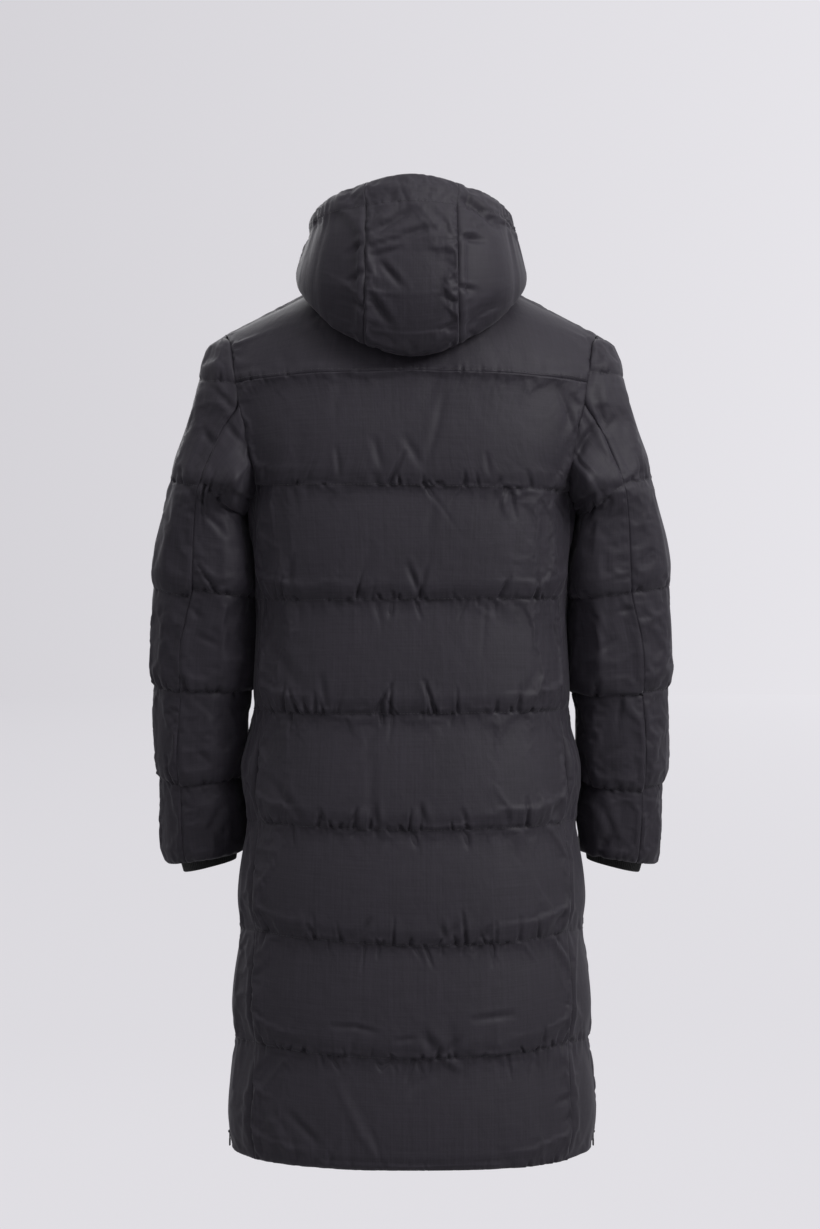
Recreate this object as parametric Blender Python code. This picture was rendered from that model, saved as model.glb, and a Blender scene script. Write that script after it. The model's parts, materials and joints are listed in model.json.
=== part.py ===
"""A long hooded puffer coat, as it is worn with its hood down.

Metres, +Z up. The origin is in the middle of the neck, level with the back neck seam. The front
faces -Y and the wearer's left is +X. Every cloth panel is a wall on one shared form: neighbours share
their seam points and their direction of thickness, so they meet edge to edge along each seam.
"""
import math

import bmesh
import bpy
import numpy as np
from mathutils import Matrix, Vector

SEAM_GAP = 0.0003
ARMHOLE_EASE = {"top": 0.0009, "under": 0.0005}  # the sleeve head stands this far off the armhole
HEM_Z = -1.090
UNDERARM_Z = -0.267
YOKE_Z = -0.130
CHANNELS = 6  # quilted channels from the hem to the underarm
ROWS = 4  # rows of faces in one channel
VENT_ROWS = 6  # rows of faces beside a side-vent zip
LINE_WALL = 0.004  # padded wall at a seam or a quilting line
BODY_WALL = 0.013
SLEEVE_WALL = 0.010
YOKE_WALL = 0.007
HOOD_WALL = 0.010
ARM_PRESS = 0.25  # how much of its padding the side panel keeps beside the arm
ARM_PRESS_Z = -0.55
COLLAR_WALL = 0.006
CUFF_WALL = 0.0025
ZIP_WALL = 0.003
FRONT_ZIP_WIDTH = 0.008
VENT_ZIP_WIDTH = 0.006


def table(columns, *rows):
    """Named columns, in rising order of the first one."""
    return dict(zip(columns.split(), np.array(sorted(rows), float).T))


def along(rows, column, at):
    """A column of a table, on a smooth curve through its rows, at a value of the first column."""
    keys = next(iter(rows.values()))
    values = rows[column]
    slopes = np.gradient(values, keys)
    i = int(np.clip(np.searchsorted(keys, at) - 1, 0, len(keys) - 2))
    step = keys[i + 1] - keys[i]
    t = (at - keys[i]) / step
    ease = t * t * (3 - 2 * t)
    return (
        values[i] * (1 - ease)
        + values[i + 1] * ease
        + step * t * (1 - t) * ((1 - t) * slopes[i] - t * slopes[i + 1])
    )


BODY = table(
    "z half_width back_depth front_depth square seam_depth vent_depth",
    (-1.090, 0.2210, 0.150, 0.142, 2.4, 0.094, 0.035),
    (-0.954, 0.2165, 0.148, 0.140, 2.4, 0.088, 0.035),
    (-0.818, 0.2100, 0.145, 0.138, 2.45, 0.081, 0.035),
    (-0.681, 0.2015, 0.140, 0.135, 2.5, 0.074, 0.036),
    (-0.542, 0.1915, 0.132, 0.130, 2.6, 0.066, 0.037),
    (-0.405, 0.1860, 0.131, 0.127, 2.9, 0.062, 0.038),
    (-0.267, 0.1960, 0.137, 0.124, 3.3, 0.062, 0.040),
    (-0.199, 0.2030, 0.137, 0.119, 3.2, 0.062, 0.040),
    (-0.130, 0.2160, 0.130, 0.109, 3.0, 0.062, 0.040),
)
ARMHOLE = table(
    "z back_x back_y front_x front_y",
    (-0.23275, 0.1945, 0.083, 0.1945, -0.066),
    (-0.1985, 0.2012, 0.090, 0.2000, -0.075),
    (-0.16425, 0.2095, 0.088, 0.2075, -0.073),
    (-0.130, 0.2155, 0.078, 0.2150, -0.064),
    (-0.110, 0.2190, 0.064, 0.2190, -0.053),
    (-0.092, 0.2230, 0.044, 0.2230, -0.037),
    (-0.080, 0.2272, 0.021, 0.2272, -0.018),
)
SLEEVE = table(
    "z outer_x centre_x half_depth centre_y seam_deg",
    (-0.7375, 0.3045, 0.2630, 0.052, -0.052, 67),
    (-0.635, 0.3130, 0.2665, 0.058, -0.034, 66),
    (-0.518, 0.3185, 0.2612, 0.061, -0.015, 67),
    (-0.577, 0.3165, 0.2655, 0.060, -0.025, 66),
    (-0.460, 0.3190, 0.2620, 0.063, -0.008, 70),
    (-0.400, 0.3190, 0.2590, 0.066, 0.000, 80),
    (-0.334, 0.3120, 0.2600, 0.0705, 0.005, 84),
    (-0.301, 0.3050, 0.2612, 0.074, 0.008, 87),
    (-0.267, 0.2985, 0.2525, 0.078, 0.010, 84),
    (-0.233, 0.2885, 0.2220, 0.081, 0.009, 72),
    (-0.1985, 0.2770, 0.2040, 0.083, 0.008, 70),
    (-0.16425, 0.2685, 0.2105, 0.081, 0.0075, 80),
    (-0.130, 0.2600, 0.2165, 0.0715, 0.007, 90),
    (-0.110, 0.2525, 0.2200, 0.059, 0.0055, 90),
    (-0.092, 0.2455, 0.2240, 0.0405, 0.0035, 90),
)
SLEEVE_LINES = (-0.7375, -0.635, -0.518, -0.400, UNDERARM_Z, YOKE_Z)
SLEEVE_SQUARE = 2.2
SLEEVE_TILT = 0.014  # the hem's inner side is this much higher than its outer side
SLEEVE_TILT_REACH = 0.1
UNDERARM_BLEND = 0.034  # height over which the round sleeve opens into the armhole
SHOULDER = Vector((0.2295, 0.0, -0.077))
NECK_SIDE, NECK_BACK, NECK_FRONT, NECK_Y = 0.077, 0.072, 0.078, -0.010
NECK_RISE, NECK_DIP = 0.004, 0.082
NECK_DEG_BACK = (0, 30, 60, 90)
NECK_DEG_FRONT = (90, 120, 150, 180)
NECK_COLUMNS = 3  # from the middle to the neck's side, and as many along the shoulder
TOP_COLUMNS = 6  # across a top sleeve
UNDER_COLUMNS = 9
YOKE_BULGE = (0.008, 0.026)  # at the middle, and over the shoulder blades
CHEST_BULGE = (0.004, 0.020)
BULGE_WAY = Vector((0, 0.8, 0.6))
BULGE_SPREAD = 1.8
YOKE_FULL = (0, 0.8, 1, 0.8, 0)
HOOD_FULL = (0, 0.4, 0.6, 0.7, 0.8, 1, 1, 1, 0.8, 0.5, 0)
ARMPIT_FULL = (0, 0.1, 0.1, 0)  # the under sleeve's rows beside the armhole
CROWN_FULL = (0.7, 0.8)  # the top sleeve's last rows below the shoulder point
PUFF_POWER = 0.7  # under 1, the padding fills a channel's edges more squarely
COLLAR_HEIGHT = 0.062
COLLAR_LEAN = 0.93
HOOD_SEAM_X = 0.0525
HOOD_SEAM_DEG = 45  # where a centre panel seam starts on the neck seam
HOOD_END_DEG = 162
HOOD_STEPS = 10
HOOD = table(
    "deg lie_r lie_z fold_r fold_z belly_r belly_z crown_r crown_z brim_r brim_z",
    (-30, 0.123, -0.024, 0.160, -0.077, 0.183, -0.034, 0.176, 0.030, 0.145, 0.090),
    (0, 0.122, -0.036, 0.158, -0.103, 0.188, -0.050, 0.184, 0.030, 0.150, 0.104),
    (30, 0.123, -0.024, 0.160, -0.077, 0.183, -0.034, 0.176, 0.030, 0.145, 0.090),
    (60, 0.116, 0.000, 0.146, -0.027, 0.1535, -0.011, 0.141, 0.034, 0.128, 0.076),
    (90, 0.104, 0.012, 0.1230, -0.003, 0.1285, 0.008, 0.121, 0.034, 0.113, 0.061),
    (120, 0.096, -0.004, 0.110, -0.006, 0.119, 0.004, 0.114, 0.021, 0.104, 0.037),
    (150, 0.096, -0.042, 0.106, -0.042, 0.111, -0.032, 0.107, -0.020, 0.099, -0.008),
    (165, 0.097, -0.058, 0.104, -0.057, 0.107, -0.049, 0.104, -0.040, 0.098, -0.032),
)
HOOD_SEAT = (0.0078, 0.010)  # outwards and up from the neck seam
CUFF = table(
    "z half_width half_depth centre_x centre_y tilt",
    (-0.7495, 0.0305, 0.041, 0.2555, -0.054, 0.016),
    (-0.7385, 0.0325, 0.043, 0.2565, -0.053, 0.013),
    (-0.710, 0.0370, 0.047, 0.2630, -0.0480, 0.006),
)
CUFF_SEAT_Z = -0.6865

FRONT_SLIDER_Z = -0.056
VENT_SLIDER_Z = HEM_Z + 0.0185
VENT_TAPE_LIFT = 0.003
SLIDER = dict(width=0.0072, tall=0.015, deep=0.0035, ear=0.0011, ear_tall=0.0032)
PIN_RADIUS = 0.0006
PIN_STAND = 0.0024  # from the slider's face to the pin's axis
PIN_LOW = 0.0045  # from the slider's middle down to the pin's axis
EAR_PAST_PIN = 0.0012
EYE = dict(radius=0.0019, hole=0.00095, width=0.0042)
PULL = dict(length=0.0185, width=0.0042, deep=0.0016)

FINISHES = {
    "shell": dict(colour=(0.028, 0.026, 0.031), roughness=0.62, metallic=0.0),
    "knit": dict(colour=(0.008, 0.008, 0.009), roughness=0.85, metallic=0.0),
    "tape": dict(colour=(0.012, 0.012, 0.013), roughness=0.7, metallic=0.0),
    "metal": dict(colour=(0.02, 0.02, 0.022), roughness=0.35, metallic=0.9),
}
RIM_ORDER = Vector((0.0, 0.17, 1.0))  # which end of a rim face counts as its first

body_z = [HEM_Z + (UNDERARM_Z - HEM_Z) * k / (CHANNELS * ROWS) for k in range(CHANNELS * ROWS)]
body_z += [UNDERARM_Z] + list(ARMHOLE["z"][: ROWS])
underarm_row = CHANNELS * ROWS
yoke_row = underarm_row + ROWS


# ---- the body's form ----


def ring(angle, half_x, half_y, square):
    """A point of a squared oval, at an angle from +Y towards +X."""
    sine, cosine = math.sin(angle), math.cos(angle)
    radius = (abs(sine) ** square + abs(cosine) ** square) ** (-1 / square)
    return Vector((half_x * radius * sine, half_y * radius * cosine))


def section(z, side):
    depth = along(BODY, side + "_depth", z)
    return along(BODY, "half_width", z), depth, along(BODY, "square", z)


def seam_point(z, side):
    """Where the side panel meets the back or the front, or the armhole's edge above it."""
    if z > UNDERARM_Z + 1e-6:
        row = int(np.argmin(abs(ARMHOLE["z"] - z)))
        return Vector((ARMHOLE[side + "_x"][row], abs(ARMHOLE[side + "_y"][row])))
    half_width, depth, square = section(z, side)
    y = along(BODY, "seam_depth" if side == "back" else "vent_depth", z)
    return Vector((half_width * (1 - (y / depth) ** square) ** (1 / square), y))


def body_point(z, side, t):
    """t runs from 0 at the centre to 1 at the seam or armhole, on the wearer's left."""
    half_width, depth, square = section(z, side)
    edge = seam_point(z, side)
    edge_angle = math.atan2(edge.x / half_width, edge.y / depth)
    stretch = edge.length / ring(edge_angle, half_width, depth, square).length
    flat = ring(edge_angle * abs(t), half_width, depth, square)
    flat *= 1 + (stretch - 1) * abs(t) ** 3
    y = flat.y if side == "back" else -flat.y
    return Vector((math.copysign(flat.x, t), y, z))


def side_point(z, t):
    """t runs from 0 at the side-back seam to 1 at the side seam."""
    angles = []
    for side in ("back", "front"):
        half_width, depth, square = section(z, side)
        edge = seam_point(z, side)
        angles.append(math.atan2(edge.x / half_width, edge.y / depth))
    angle = angles[0] + (math.pi - angles[1] - angles[0]) * t
    half_width, depth, square = section(z, "back" if angle < math.pi / 2 else "front")
    flat = ring(angle, half_width, depth, square)
    return Vector((flat.x, flat.y, z))


def neck(degrees):
    angle = math.radians(degrees)
    cosine = math.cos(angle)
    y = NECK_Y + (NECK_BACK if cosine > 0 else NECK_FRONT) * cosine
    z = NECK_RISE * (1 - cosine) if cosine > 0 else NECK_RISE - NECK_DIP * (-cosine) ** 1.5
    return Vector((NECK_SIDE * math.sin(angle), y, z))


def armhole(row, side):
    """Armhole points from the yoke seam (0) up to the shoulder point (4)."""
    if row == ROWS:
        return SHOULDER.copy()
    i = ROWS - 1 + row
    return Vector((ARMHOLE[side + "_x"][i], ARMHOLE[side + "_y"][i], ARMHOLE["z"][i]))


def shoulder_patch(row, side, t):
    """The body above the yoke seam, up to the neck (|t| under 0.5) and the shoulder seam."""
    v = row / ROWS
    far = abs(t)
    if far <= 0.5:
        column = far * 2 * NECK_COLUMNS
        degrees = np.interp(column, range(NECK_COLUMNS + 1), NECK_DEG_BACK)
        if side == "front":
            column = NECK_COLUMNS - column
            degrees = np.interp(column, range(NECK_COLUMNS + 1), NECK_DEG_FRONT)
        top = neck(degrees)
    else:
        top = neck(90).lerp(SHOULDER, far * 2 - 1)
    low = body_point(YOKE_Z, side, far)
    point = low.lerp(top, v)
    edge = armhole(0, side).lerp(SHOULDER, v)
    point += (armhole(row, side) - edge) * far**4
    middle, blade = YOKE_BULGE if side == "back" else CHEST_BULGE
    outward = BULGE_WAY * Vector((1, 1 if side == "back" else -1, 1))
    full = middle + (blade - middle) * min(1, far * BULGE_SPREAD)
    point += outward * full * math.sin(math.pi * v) * (1 - far**4)
    point.x = math.copysign(point.x, t)
    return point


# ---- the sleeve's form, the wearer's left ----


def sleeve_sizes(z):
    outer, centre = along(SLEEVE, "outer_x", z), along(SLEEVE, "centre_x", z)
    return outer - centre, along(SLEEVE, "half_depth", z), centre, along(SLEEVE, "centre_y", z)


def armhole_angle(z, side):
    """The armhole's edge as an angle round the sleeve, and its reach over the round section."""
    half_width, half_depth, centre_x, centre_y = sleeve_sizes(z)
    edge = seam_point(z, side)
    y = edge.y if side == "back" else -edge.y
    across, deep = (edge.x - centre_x) / half_width, (y - centre_y) / half_depth
    angle = math.atan2(deep, across)
    round_reach = ring(angle, 1, 1, SLEEVE_SQUARE).length
    return abs(angle), math.hypot(across, deep) / round_reach


def sleeve_tilt(z):
    return SLEEVE_TILT * max(0, 1 - (z - SLEEVE_LINES[0]) / SLEEVE_TILT_REACH)


def sleeve_point(z, angle):
    """Angle 0 is the sleeve's outer side, and +90 degrees its back."""
    half_width, half_depth, centre_x, centre_y = sleeve_sizes(z)
    flat = ring(angle, half_depth, half_width, SLEEVE_SQUARE)
    opening = min(1, max(0, (z - UNDERARM_Z) / UNDERARM_BLEND + 1))
    if opening > 0:
        edge, reach = armhole_angle(max(z, UNDERARM_Z), "back" if angle > 0 else "front")
        flat *= 1 + (reach - 1) * opening * min(1, abs(angle) / edge) ** 3
    z += sleeve_tilt(z) * (1 - math.cos(angle)) / 2
    return Vector((centre_x + flat.y, centre_y + flat.x, z))


def seam_angle(z, side):
    if z > ARMHOLE["z"][2] - 1e-6:
        return armhole_angle(z, side)[0]
    return math.radians(along(SLEEVE, "seam_deg", z))


# ---- the hood's form ----


def hood_point(degrees, v):
    """v runs from 0 at the neck seam, down over the yoke, and up to 1 at the brim."""
    angle = math.radians(degrees)
    outward = Vector((math.sin(angle), math.cos(angle), 0))
    seat = neck(degrees) + outward * HOOD_SEAT[0] + Vector((0, 0, HOOD_SEAT[1]))
    stops = [((seat - Vector((0, NECK_Y, 0))).dot(outward), seat.z)]
    for name in ("lie", "fold", "belly", "crown", "brim"):
        stops.append((along(HOOD, name + "_r", degrees), along(HOOD, name + "_z", degrees)))
    profile = table("step r z", *[(i, r, z) for i, (r, z) in enumerate(stops)])
    at = v * (len(stops) - 1)
    radius, z = along(profile, "r", at), along(profile, "z", at)
    flat = outward * radius + Vector((0, NECK_Y, 0))
    return Vector((flat.x, flat.y, z)) if v > 0 else seat


def hood_seam_degrees(v, share):
    """The angle that keeps a line of the centre panel at its own distance from the middle."""
    base = HOOD_SEAM_DEG * share
    degrees = base
    for _ in range(6):
        radius = (hood_point(abs(degrees), v) - Vector((0, NECK_Y, 0))).xy.length
        degrees = math.degrees(math.asin(HOOD_SEAM_X * share / radius))
    ease = min(1, v / 0.3)
    return base + (degrees - base) * ease * ease * (3 - 2 * ease)


def hood_centre_point(share, v):
    point = hood_point(abs(hood_seam_degrees(v, share)), v)
    point.x = math.copysign(point.x, share) if share else 0.0
    return point


def hood_side_point(share, v):
    seam = hood_seam_degrees(v, 1)
    return hood_point(seam + (HOOD_END_DEG - seam) * share, v)


# ---- the panels as grids of points ----


def channel_fullness(rows, wall_lines):
    """How full the padding is at each row: 0 on a quilting line, 1 in mid-channel."""
    full = []
    for z in rows:
        i = int(np.clip(np.searchsorted(wall_lines, z - 1e-5) - 1, 0, len(wall_lines) - 2))
        share = (z - wall_lines[i]) / (wall_lines[i + 1] - wall_lines[i])
        full.append(math.sin(math.pi * min(1, max(0, share))) ** PUFF_POWER)
    return np.array(full)


def grid(rows, columns, place):
    return np.array([[place(row, column) for column in columns] for row in rows])


def padded(points, row_fullness, wall):
    """Wall thickness over a grid: thin along the panel's seams, full in its channels."""
    full = np.repeat(np.asarray(row_fullness)[:, None], points.shape[1], axis=1)
    full[:, [0, -1]] = 0
    return LINE_WALL + (wall - LINE_WALL) * full


body_lines = np.linspace(HEM_Z, UNDERARM_Z, CHANNELS + 1).tolist() + [YOKE_Z]
body_full = channel_fullness(body_z, body_lines)
panels = {}
zip_lines = {}


def add_panel(name, points, wall, finish="shell", mirrored=False):
    panels[name] = dict(points=points, wall=wall, finish=finish, gaps={})
    if mirrored:
        other = points[:, ::-1] * (-1, 1, 1)
        panels[name.replace("left", "right")] = dict(
            points=other, wall=wall[:, ::-1], finish=finish, gaps={}
        )


def back_panels():
    across = np.linspace(-1, 1, 4 * NECK_COLUMNS + 1)
    points = grid(body_z, across, lambda z, t: body_point(z, "back", t))
    add_panel("back_panel", points, padded(points, body_full, BODY_WALL))
    points = grid(range(5), across, lambda row, t: shoulder_patch(row, "back", t))
    add_panel("back_yoke", points, padded(points, YOKE_FULL, YOKE_WALL))


def side_panels():
    points = grid(body_z[: underarm_row + 1], np.linspace(0, 1, 4), side_point)
    full = body_full[: underarm_row + 1].copy()
    full[np.array(body_z[: underarm_row + 1]) > ARM_PRESS_Z] *= ARM_PRESS
    wall = padded(points, full, BODY_WALL)
    add_panel("side_panel_left", points, wall, mirrored=True)


def front_panels():
    across = np.linspace(1, 0, 2 * NECK_COLUMNS + 1)
    low = grid(body_z, across, lambda z, t: body_point(z, "front", t))
    high = grid(range(1, 5), across, lambda row, t: shoulder_patch(row, "front", t))
    points = np.concatenate([low, high])
    full = np.concatenate([body_full, YOKE_FULL[1:]])
    wall = padded(points, full, BODY_WALL)
    wall[yoke_row:] = padded(points[yoke_row:], YOKE_FULL, YOKE_WALL)
    add_panel("front_left", points, wall, mirrored=True)


def sleeve_rows():
    lines = list(SLEEVE_LINES)
    rows = []
    for low, high in zip(lines[:-2], lines[1:-1]):
        rows += [low + (high - low) * k / ROWS for k in range(ROWS)]
    return rows + [UNDERARM_Z] + list(ARMHOLE["z"][:6])


def sleeve_tops():
    rows = sleeve_rows()
    shares = np.linspace(1, -1, TOP_COLUMNS + 1)

    def place(z, share):
        side = "back" if share > 0 else "front"
        return sleeve_point(z, seam_angle(z, side) * share)

    points = grid(rows, shares, place)
    ends = [armhole(ROWS - 1, "back" if share > 0 else "front") for share in shares]
    crown = [end.lerp(SHOULDER, 1 - abs(share)) for end, share in zip(ends, shares)]
    points = np.concatenate([points, np.array(crown)[None]])
    full = channel_fullness(rows, SLEEVE_LINES)
    full[-2:] = CROWN_FULL
    wall = padded(points, np.append(full, 0), SLEEVE_WALL)
    add_panel("sleeve_top_left", points, wall, mirrored=True)


def sleeve_unders():
    """The under sleeve's columns end up the armhole's back, along the underarm, and up its front."""
    rows = [z for z in sleeve_rows() if z < UNDERARM_Z - 1e-3]
    climb = [UNDERARM_Z, *ARMHOLE["z"][: ROWS - 1]]
    ends = climb[::-1] + [None, None] + climb
    last = UNDER_COLUMNS

    def tube_angle(z, j):
        seam = seam_angle(z, "back")
        return seam + (2 * math.pi - 2 * seam) * j / last

    def wrapped(angle):
        return angle if angle <= math.pi else angle - 2 * math.pi

    low = grid(rows, range(last + 1), lambda z, j: sleeve_point(z, wrapped(tube_angle(z, j))))

    def rise(step, j):
        height = ends[j]
        share = step / ROWS
        start_z = rows[-1]
        if height is None:
            start = sleeve_point(start_z, wrapped(tube_angle(start_z, j)))
            return start.lerp(side_point(UNDERARM_Z, (j - 3) / 3), share)
        side = "back" if j < last / 2 else "front"
        sign = 1 if side == "back" else -1
        z = start_z + (height - start_z) * share
        if j in (0, last):
            z = climb[step - 1]
            return sleeve_point(z, sign * seam_angle(z, side))
        end = armhole_angle(height, side)[0]
        start = sign * wrapped(tube_angle(start_z, j))
        return sleeve_point(z, sign * (start + (end - start) * share))

    high = grid(range(1, ROWS + 1), range(last + 1), rise)
    points = np.concatenate([low, high])[:, ::-1]
    full = np.concatenate([channel_fullness(rows, SLEEVE_LINES), ARMPIT_FULL])
    wall = padded(points, full, SLEEVE_WALL)
    add_panel("sleeve_under_left", points, wall, mirrored=True)


def hood_panels():
    steps = np.linspace(0, 1, HOOD_STEPS + 1)
    points = grid(steps, np.linspace(-1, 1, 5), lambda v, share: hood_centre_point(share, v))
    add_panel("hood_centre", points, padded(points, HOOD_FULL, HOOD_WALL))
    points = grid(steps, np.linspace(0, 1, 9), lambda v, share: hood_side_point(share, v))
    add_panel("hood_side_left", points, padded(points, HOOD_FULL, HOOD_WALL), mirrored=True)


def collar_point(height, degrees):
    low = neck(abs(degrees))
    lean = 1 + (COLLAR_LEAN - 1) * height
    x = math.copysign(low.x, degrees) * lean
    return Vector((x, NECK_Y + (low.y - NECK_Y) * lean, low.z + COLLAR_HEIGHT * height))


def collar_panel():
    half = NECK_DEG_BACK[:-1] + NECK_DEG_FRONT
    turns = [-d for d in half[:0:-1]] + list(half)
    points = grid((0, 0.3, 0.65, 1), turns, collar_point)
    points[:, [0, -1], 0] = 0
    add_panel("collar", points, padded(points, [0, 1, 1, 0], COLLAR_WALL))


def add_directions():
    """Outward directions at every point, shared and mitred where panels meet."""
    seams = {}
    for panel in panels.values():
        points = panel["points"]
        across = np.gradient(points, axis=1)
        up = np.gradient(points, axis=0)
        normals = np.cross(up, across)
        size = np.linalg.norm(normals, axis=2, keepdims=True)
        panel["normals"] = normals / np.maximum(size, 1e-12)
        for i, j in np.ndindex(points.shape[:2]):
            key = tuple(np.round(points[i, j] * 20000).astype(int))
            seams.setdefault(key, []).append(panel["normals"][i, j])
    for panel in panels.values():
        points = panel["points"]
        lift = np.empty_like(points)
        for i, j in np.ndindex(points.shape[:2]):
            found = np.array(seams[tuple(np.round(points[i, j] * 20000).astype(int))])
            shared = found.sum(axis=0)
            shared /= np.linalg.norm(shared)
            mitre = max(0.6, float((found @ shared).mean()))
            lift[i, j] = shared * panel["wall"][i, j] / mitre
        panel["lift"] = lift


def ease_crown(lift):
    """Runs the direction straight along the sleeve head's two short seams at the shoulder."""
    middle = TOP_COLUMNS // 2
    for start in (0, middle):
        for k in range(1, middle):
            share = k / middle
            lift[-1, start + k] = lift[-1, start] * (1 - share) + lift[-1, start + middle] * share


def pull_back(points, gaps):
    """Draws each edge of a panel back from its seam."""
    edges = {
        "first": (np.s_[:, 0], np.s_[:, 1]),
        "last": (np.s_[:, -1], np.s_[:, -2]),
        "low": (np.s_[0], np.s_[1]),
        "high": (np.s_[-1], np.s_[-2]),
    }
    moved = points.copy()
    for name, (edge, inner) in edges.items():
        way = points[inner] - points[edge]
        way /= np.linalg.norm(way, axis=1, keepdims=True)
        gap = np.broadcast_to(gaps.get(name, SEAM_GAP / 2), len(way))
        moved[edge] += way * gap[:, None]
    return moved


# ---- meshes and materials ----

def finish_material(name, finish):
    look = FINISHES[finish]
    material = bpy.data.materials.new(name + "_" + finish)
    material.use_nodes = True
    shader = material.node_tree.nodes["Principled BSDF"]
    shader.inputs["Base Color"].default_value = (*look["colour"], 1)
    shader.inputs["Roughness"].default_value = look["roughness"]
    shader.inputs["Metallic"].default_value = look["metallic"]
    return material


def link_mesh(bm, name, finish, collection):
    bmesh.ops.recalc_face_normals(bm, faces=bm.faces[:])
    mesh = bpy.data.meshes.new(name)
    bm.to_mesh(mesh)
    bm.free()
    mesh.materials.append(finish_material(name, finish))
    part = bpy.data.objects.new(name, mesh)
    collection.objects.link(part)
    return part


def make_wall(name, points, lift, finish, collection, closed=False):
    """A grid laid on the inner points, then extruded along each point's own direction."""
    rows, columns = points.shape[:2]
    bm = bmesh.new()
    direction = bm.verts.layers.float_vector.new("lift")
    bmesh.ops.create_grid(bm, x_segments=columns - 1, y_segments=rows - 1, size=1)
    for vert in bm.verts[:]:
        j = round((vert.co.x + 1) / 2 * (columns - 1))
        i = round((vert.co.y + 1) / 2 * (rows - 1))
        vert.co = points[i, j]
        vert[direction] = lift[i, j]
    if closed:
        bmesh.ops.remove_doubles(bm, verts=bm.verts[:], dist=1e-6)
    for face in bm.faces[:]:
        a, b, c, d = face.verts
        outward = sum((vert[direction] for vert in face.verts), Vector())
        crowned = (a.co + c.co - b.co - d.co).dot(outward)
        bmesh.utils.face_split(face, *((a, c) if crowned > 0 else (b, d)))
    made = bmesh.ops.extrude_face_region(bm, geom=bm.faces[:])["geom"]
    outer = {vert for vert in made if isinstance(vert, bmesh.types.BMVert)}
    split_rims(bm, outer)
    for vert in outer:
        vert.co += vert[direction]
    return link_mesh(bm, name, finish, collection)


def split_rims(bm, outer):
    """Cuts each twisted rim face along the diagonal that the neighbouring panel cuts too."""
    rims = [face for face in bm.faces if sum(vert in outer for vert in face.verts) == 2]
    for face in rims:
        first, second = [vert for vert in face.verts if vert not in outer]
        if RIM_ORDER.dot(second.co) > RIM_ORDER.dot(first.co):
            first, second = second, first
        across = [v for v in face.verts if v in outer and (v.co - second.co).length < 1e-7]
        bmesh.utils.face_split(face, first, across[0])


def cloth(collection):
    back_panels()
    side_panels()
    front_panels()
    sleeve_tops()
    sleeve_unders()
    hood_panels()
    collar_panel()
    add_directions()
    vent = np.full(len(body_z) + ROWS, SEAM_GAP / 2)
    vent[: VENT_ROWS + 1] = VENT_ZIP_WIDTH / 2 + SEAM_GAP
    panels["side_panel_left"]["gaps"]["last"] = vent[: underarm_row + 1]
    panels["side_panel_right"]["gaps"]["first"] = vent[: underarm_row + 1]
    panels["front_left"]["gaps"]["first"] = vent
    panels["front_right"]["gaps"]["last"] = vent
    for side in ("left", "right"):
        ease_crown(panels["sleeve_top_" + side]["lift"])
        for part, ease in ARMHOLE_EASE.items():
            panels[f"sleeve_{part}_{side}"]["gaps"]["high"] = ease
    left, right = (-1, 1), (0, -1)
    front_edges = {"front_left": [left], "front_right": [right], "collar": [left, right]}
    for name, panel in panels.items():
        points = pull_back(panel["points"], panel["gaps"])
        for column, sign in front_edges.get(name, ()):
            points[:, column, 0] = sign * (FRONT_ZIP_WIDTH / 2 + SEAM_GAP)
        make_wall(name, points, panel["lift"], panel["finish"], collection)


def storm_cuffs(collection):
    """A knitted tube sewn inside the sleeve, showing below its hem."""
    seam = seam_angle(CUFF_SEAT_Z, "back")
    under = np.linspace(seam, 2 * math.pi - seam, UNDER_COLUMNS + 1)
    angles = list(np.linspace(-seam, seam, TOP_COLUMNS + 1)) + list(under[1:])
    half_width, half_depth, centre_x, centre_y = sleeve_sizes(CUFF_SEAT_Z)
    inset = CUFF_WALL + SEAM_GAP
    sizes = half_width - inset, half_depth - inset, centre_x, centre_y, sleeve_tilt(CUFF_SEAT_Z)
    rings = [(CUFF_SEAT_Z, *sizes)]
    for k in (2, 1, 0):
        rings.append(tuple(CUFF[name][k] for name in CUFF))

    def place(level, angle):
        z, wide, deep, x, y, tilt = level
        flat = ring(angle, deep, wide, SLEEVE_SQUARE)
        return Vector((x + flat.y, y + flat.x, z + tilt * (1 - math.cos(angle)) / 2))

    points = grid(rings[::-1], angles, place)
    centre = np.array([[(level[3], level[4], level[0])] for level in rings[::-1]])
    lift = (points - centre) * (1, 1, 0)
    lift *= CUFF_WALL / np.linalg.norm(lift, axis=2, keepdims=True)
    for side, turn in (("left", (1, 1, 1)), ("right", (-1, 1, 1))):
        make_wall("storm_cuff_" + side, points * turn, lift * turn, "knit", collection, closed=True)


def zip_strip(name, middle, across, outward, width, collection):
    """A closed zip: tape and coil as one strip along the middle line."""
    across = across * width / 2
    points = np.stack([middle - across, middle + across], axis=1)
    lift = np.repeat((outward * ZIP_WALL)[:, None], 2, axis=1)
    zip_lines[name] = middle + outward * ZIP_WALL, outward
    make_wall(name, points, lift, "tape", collection)


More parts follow.
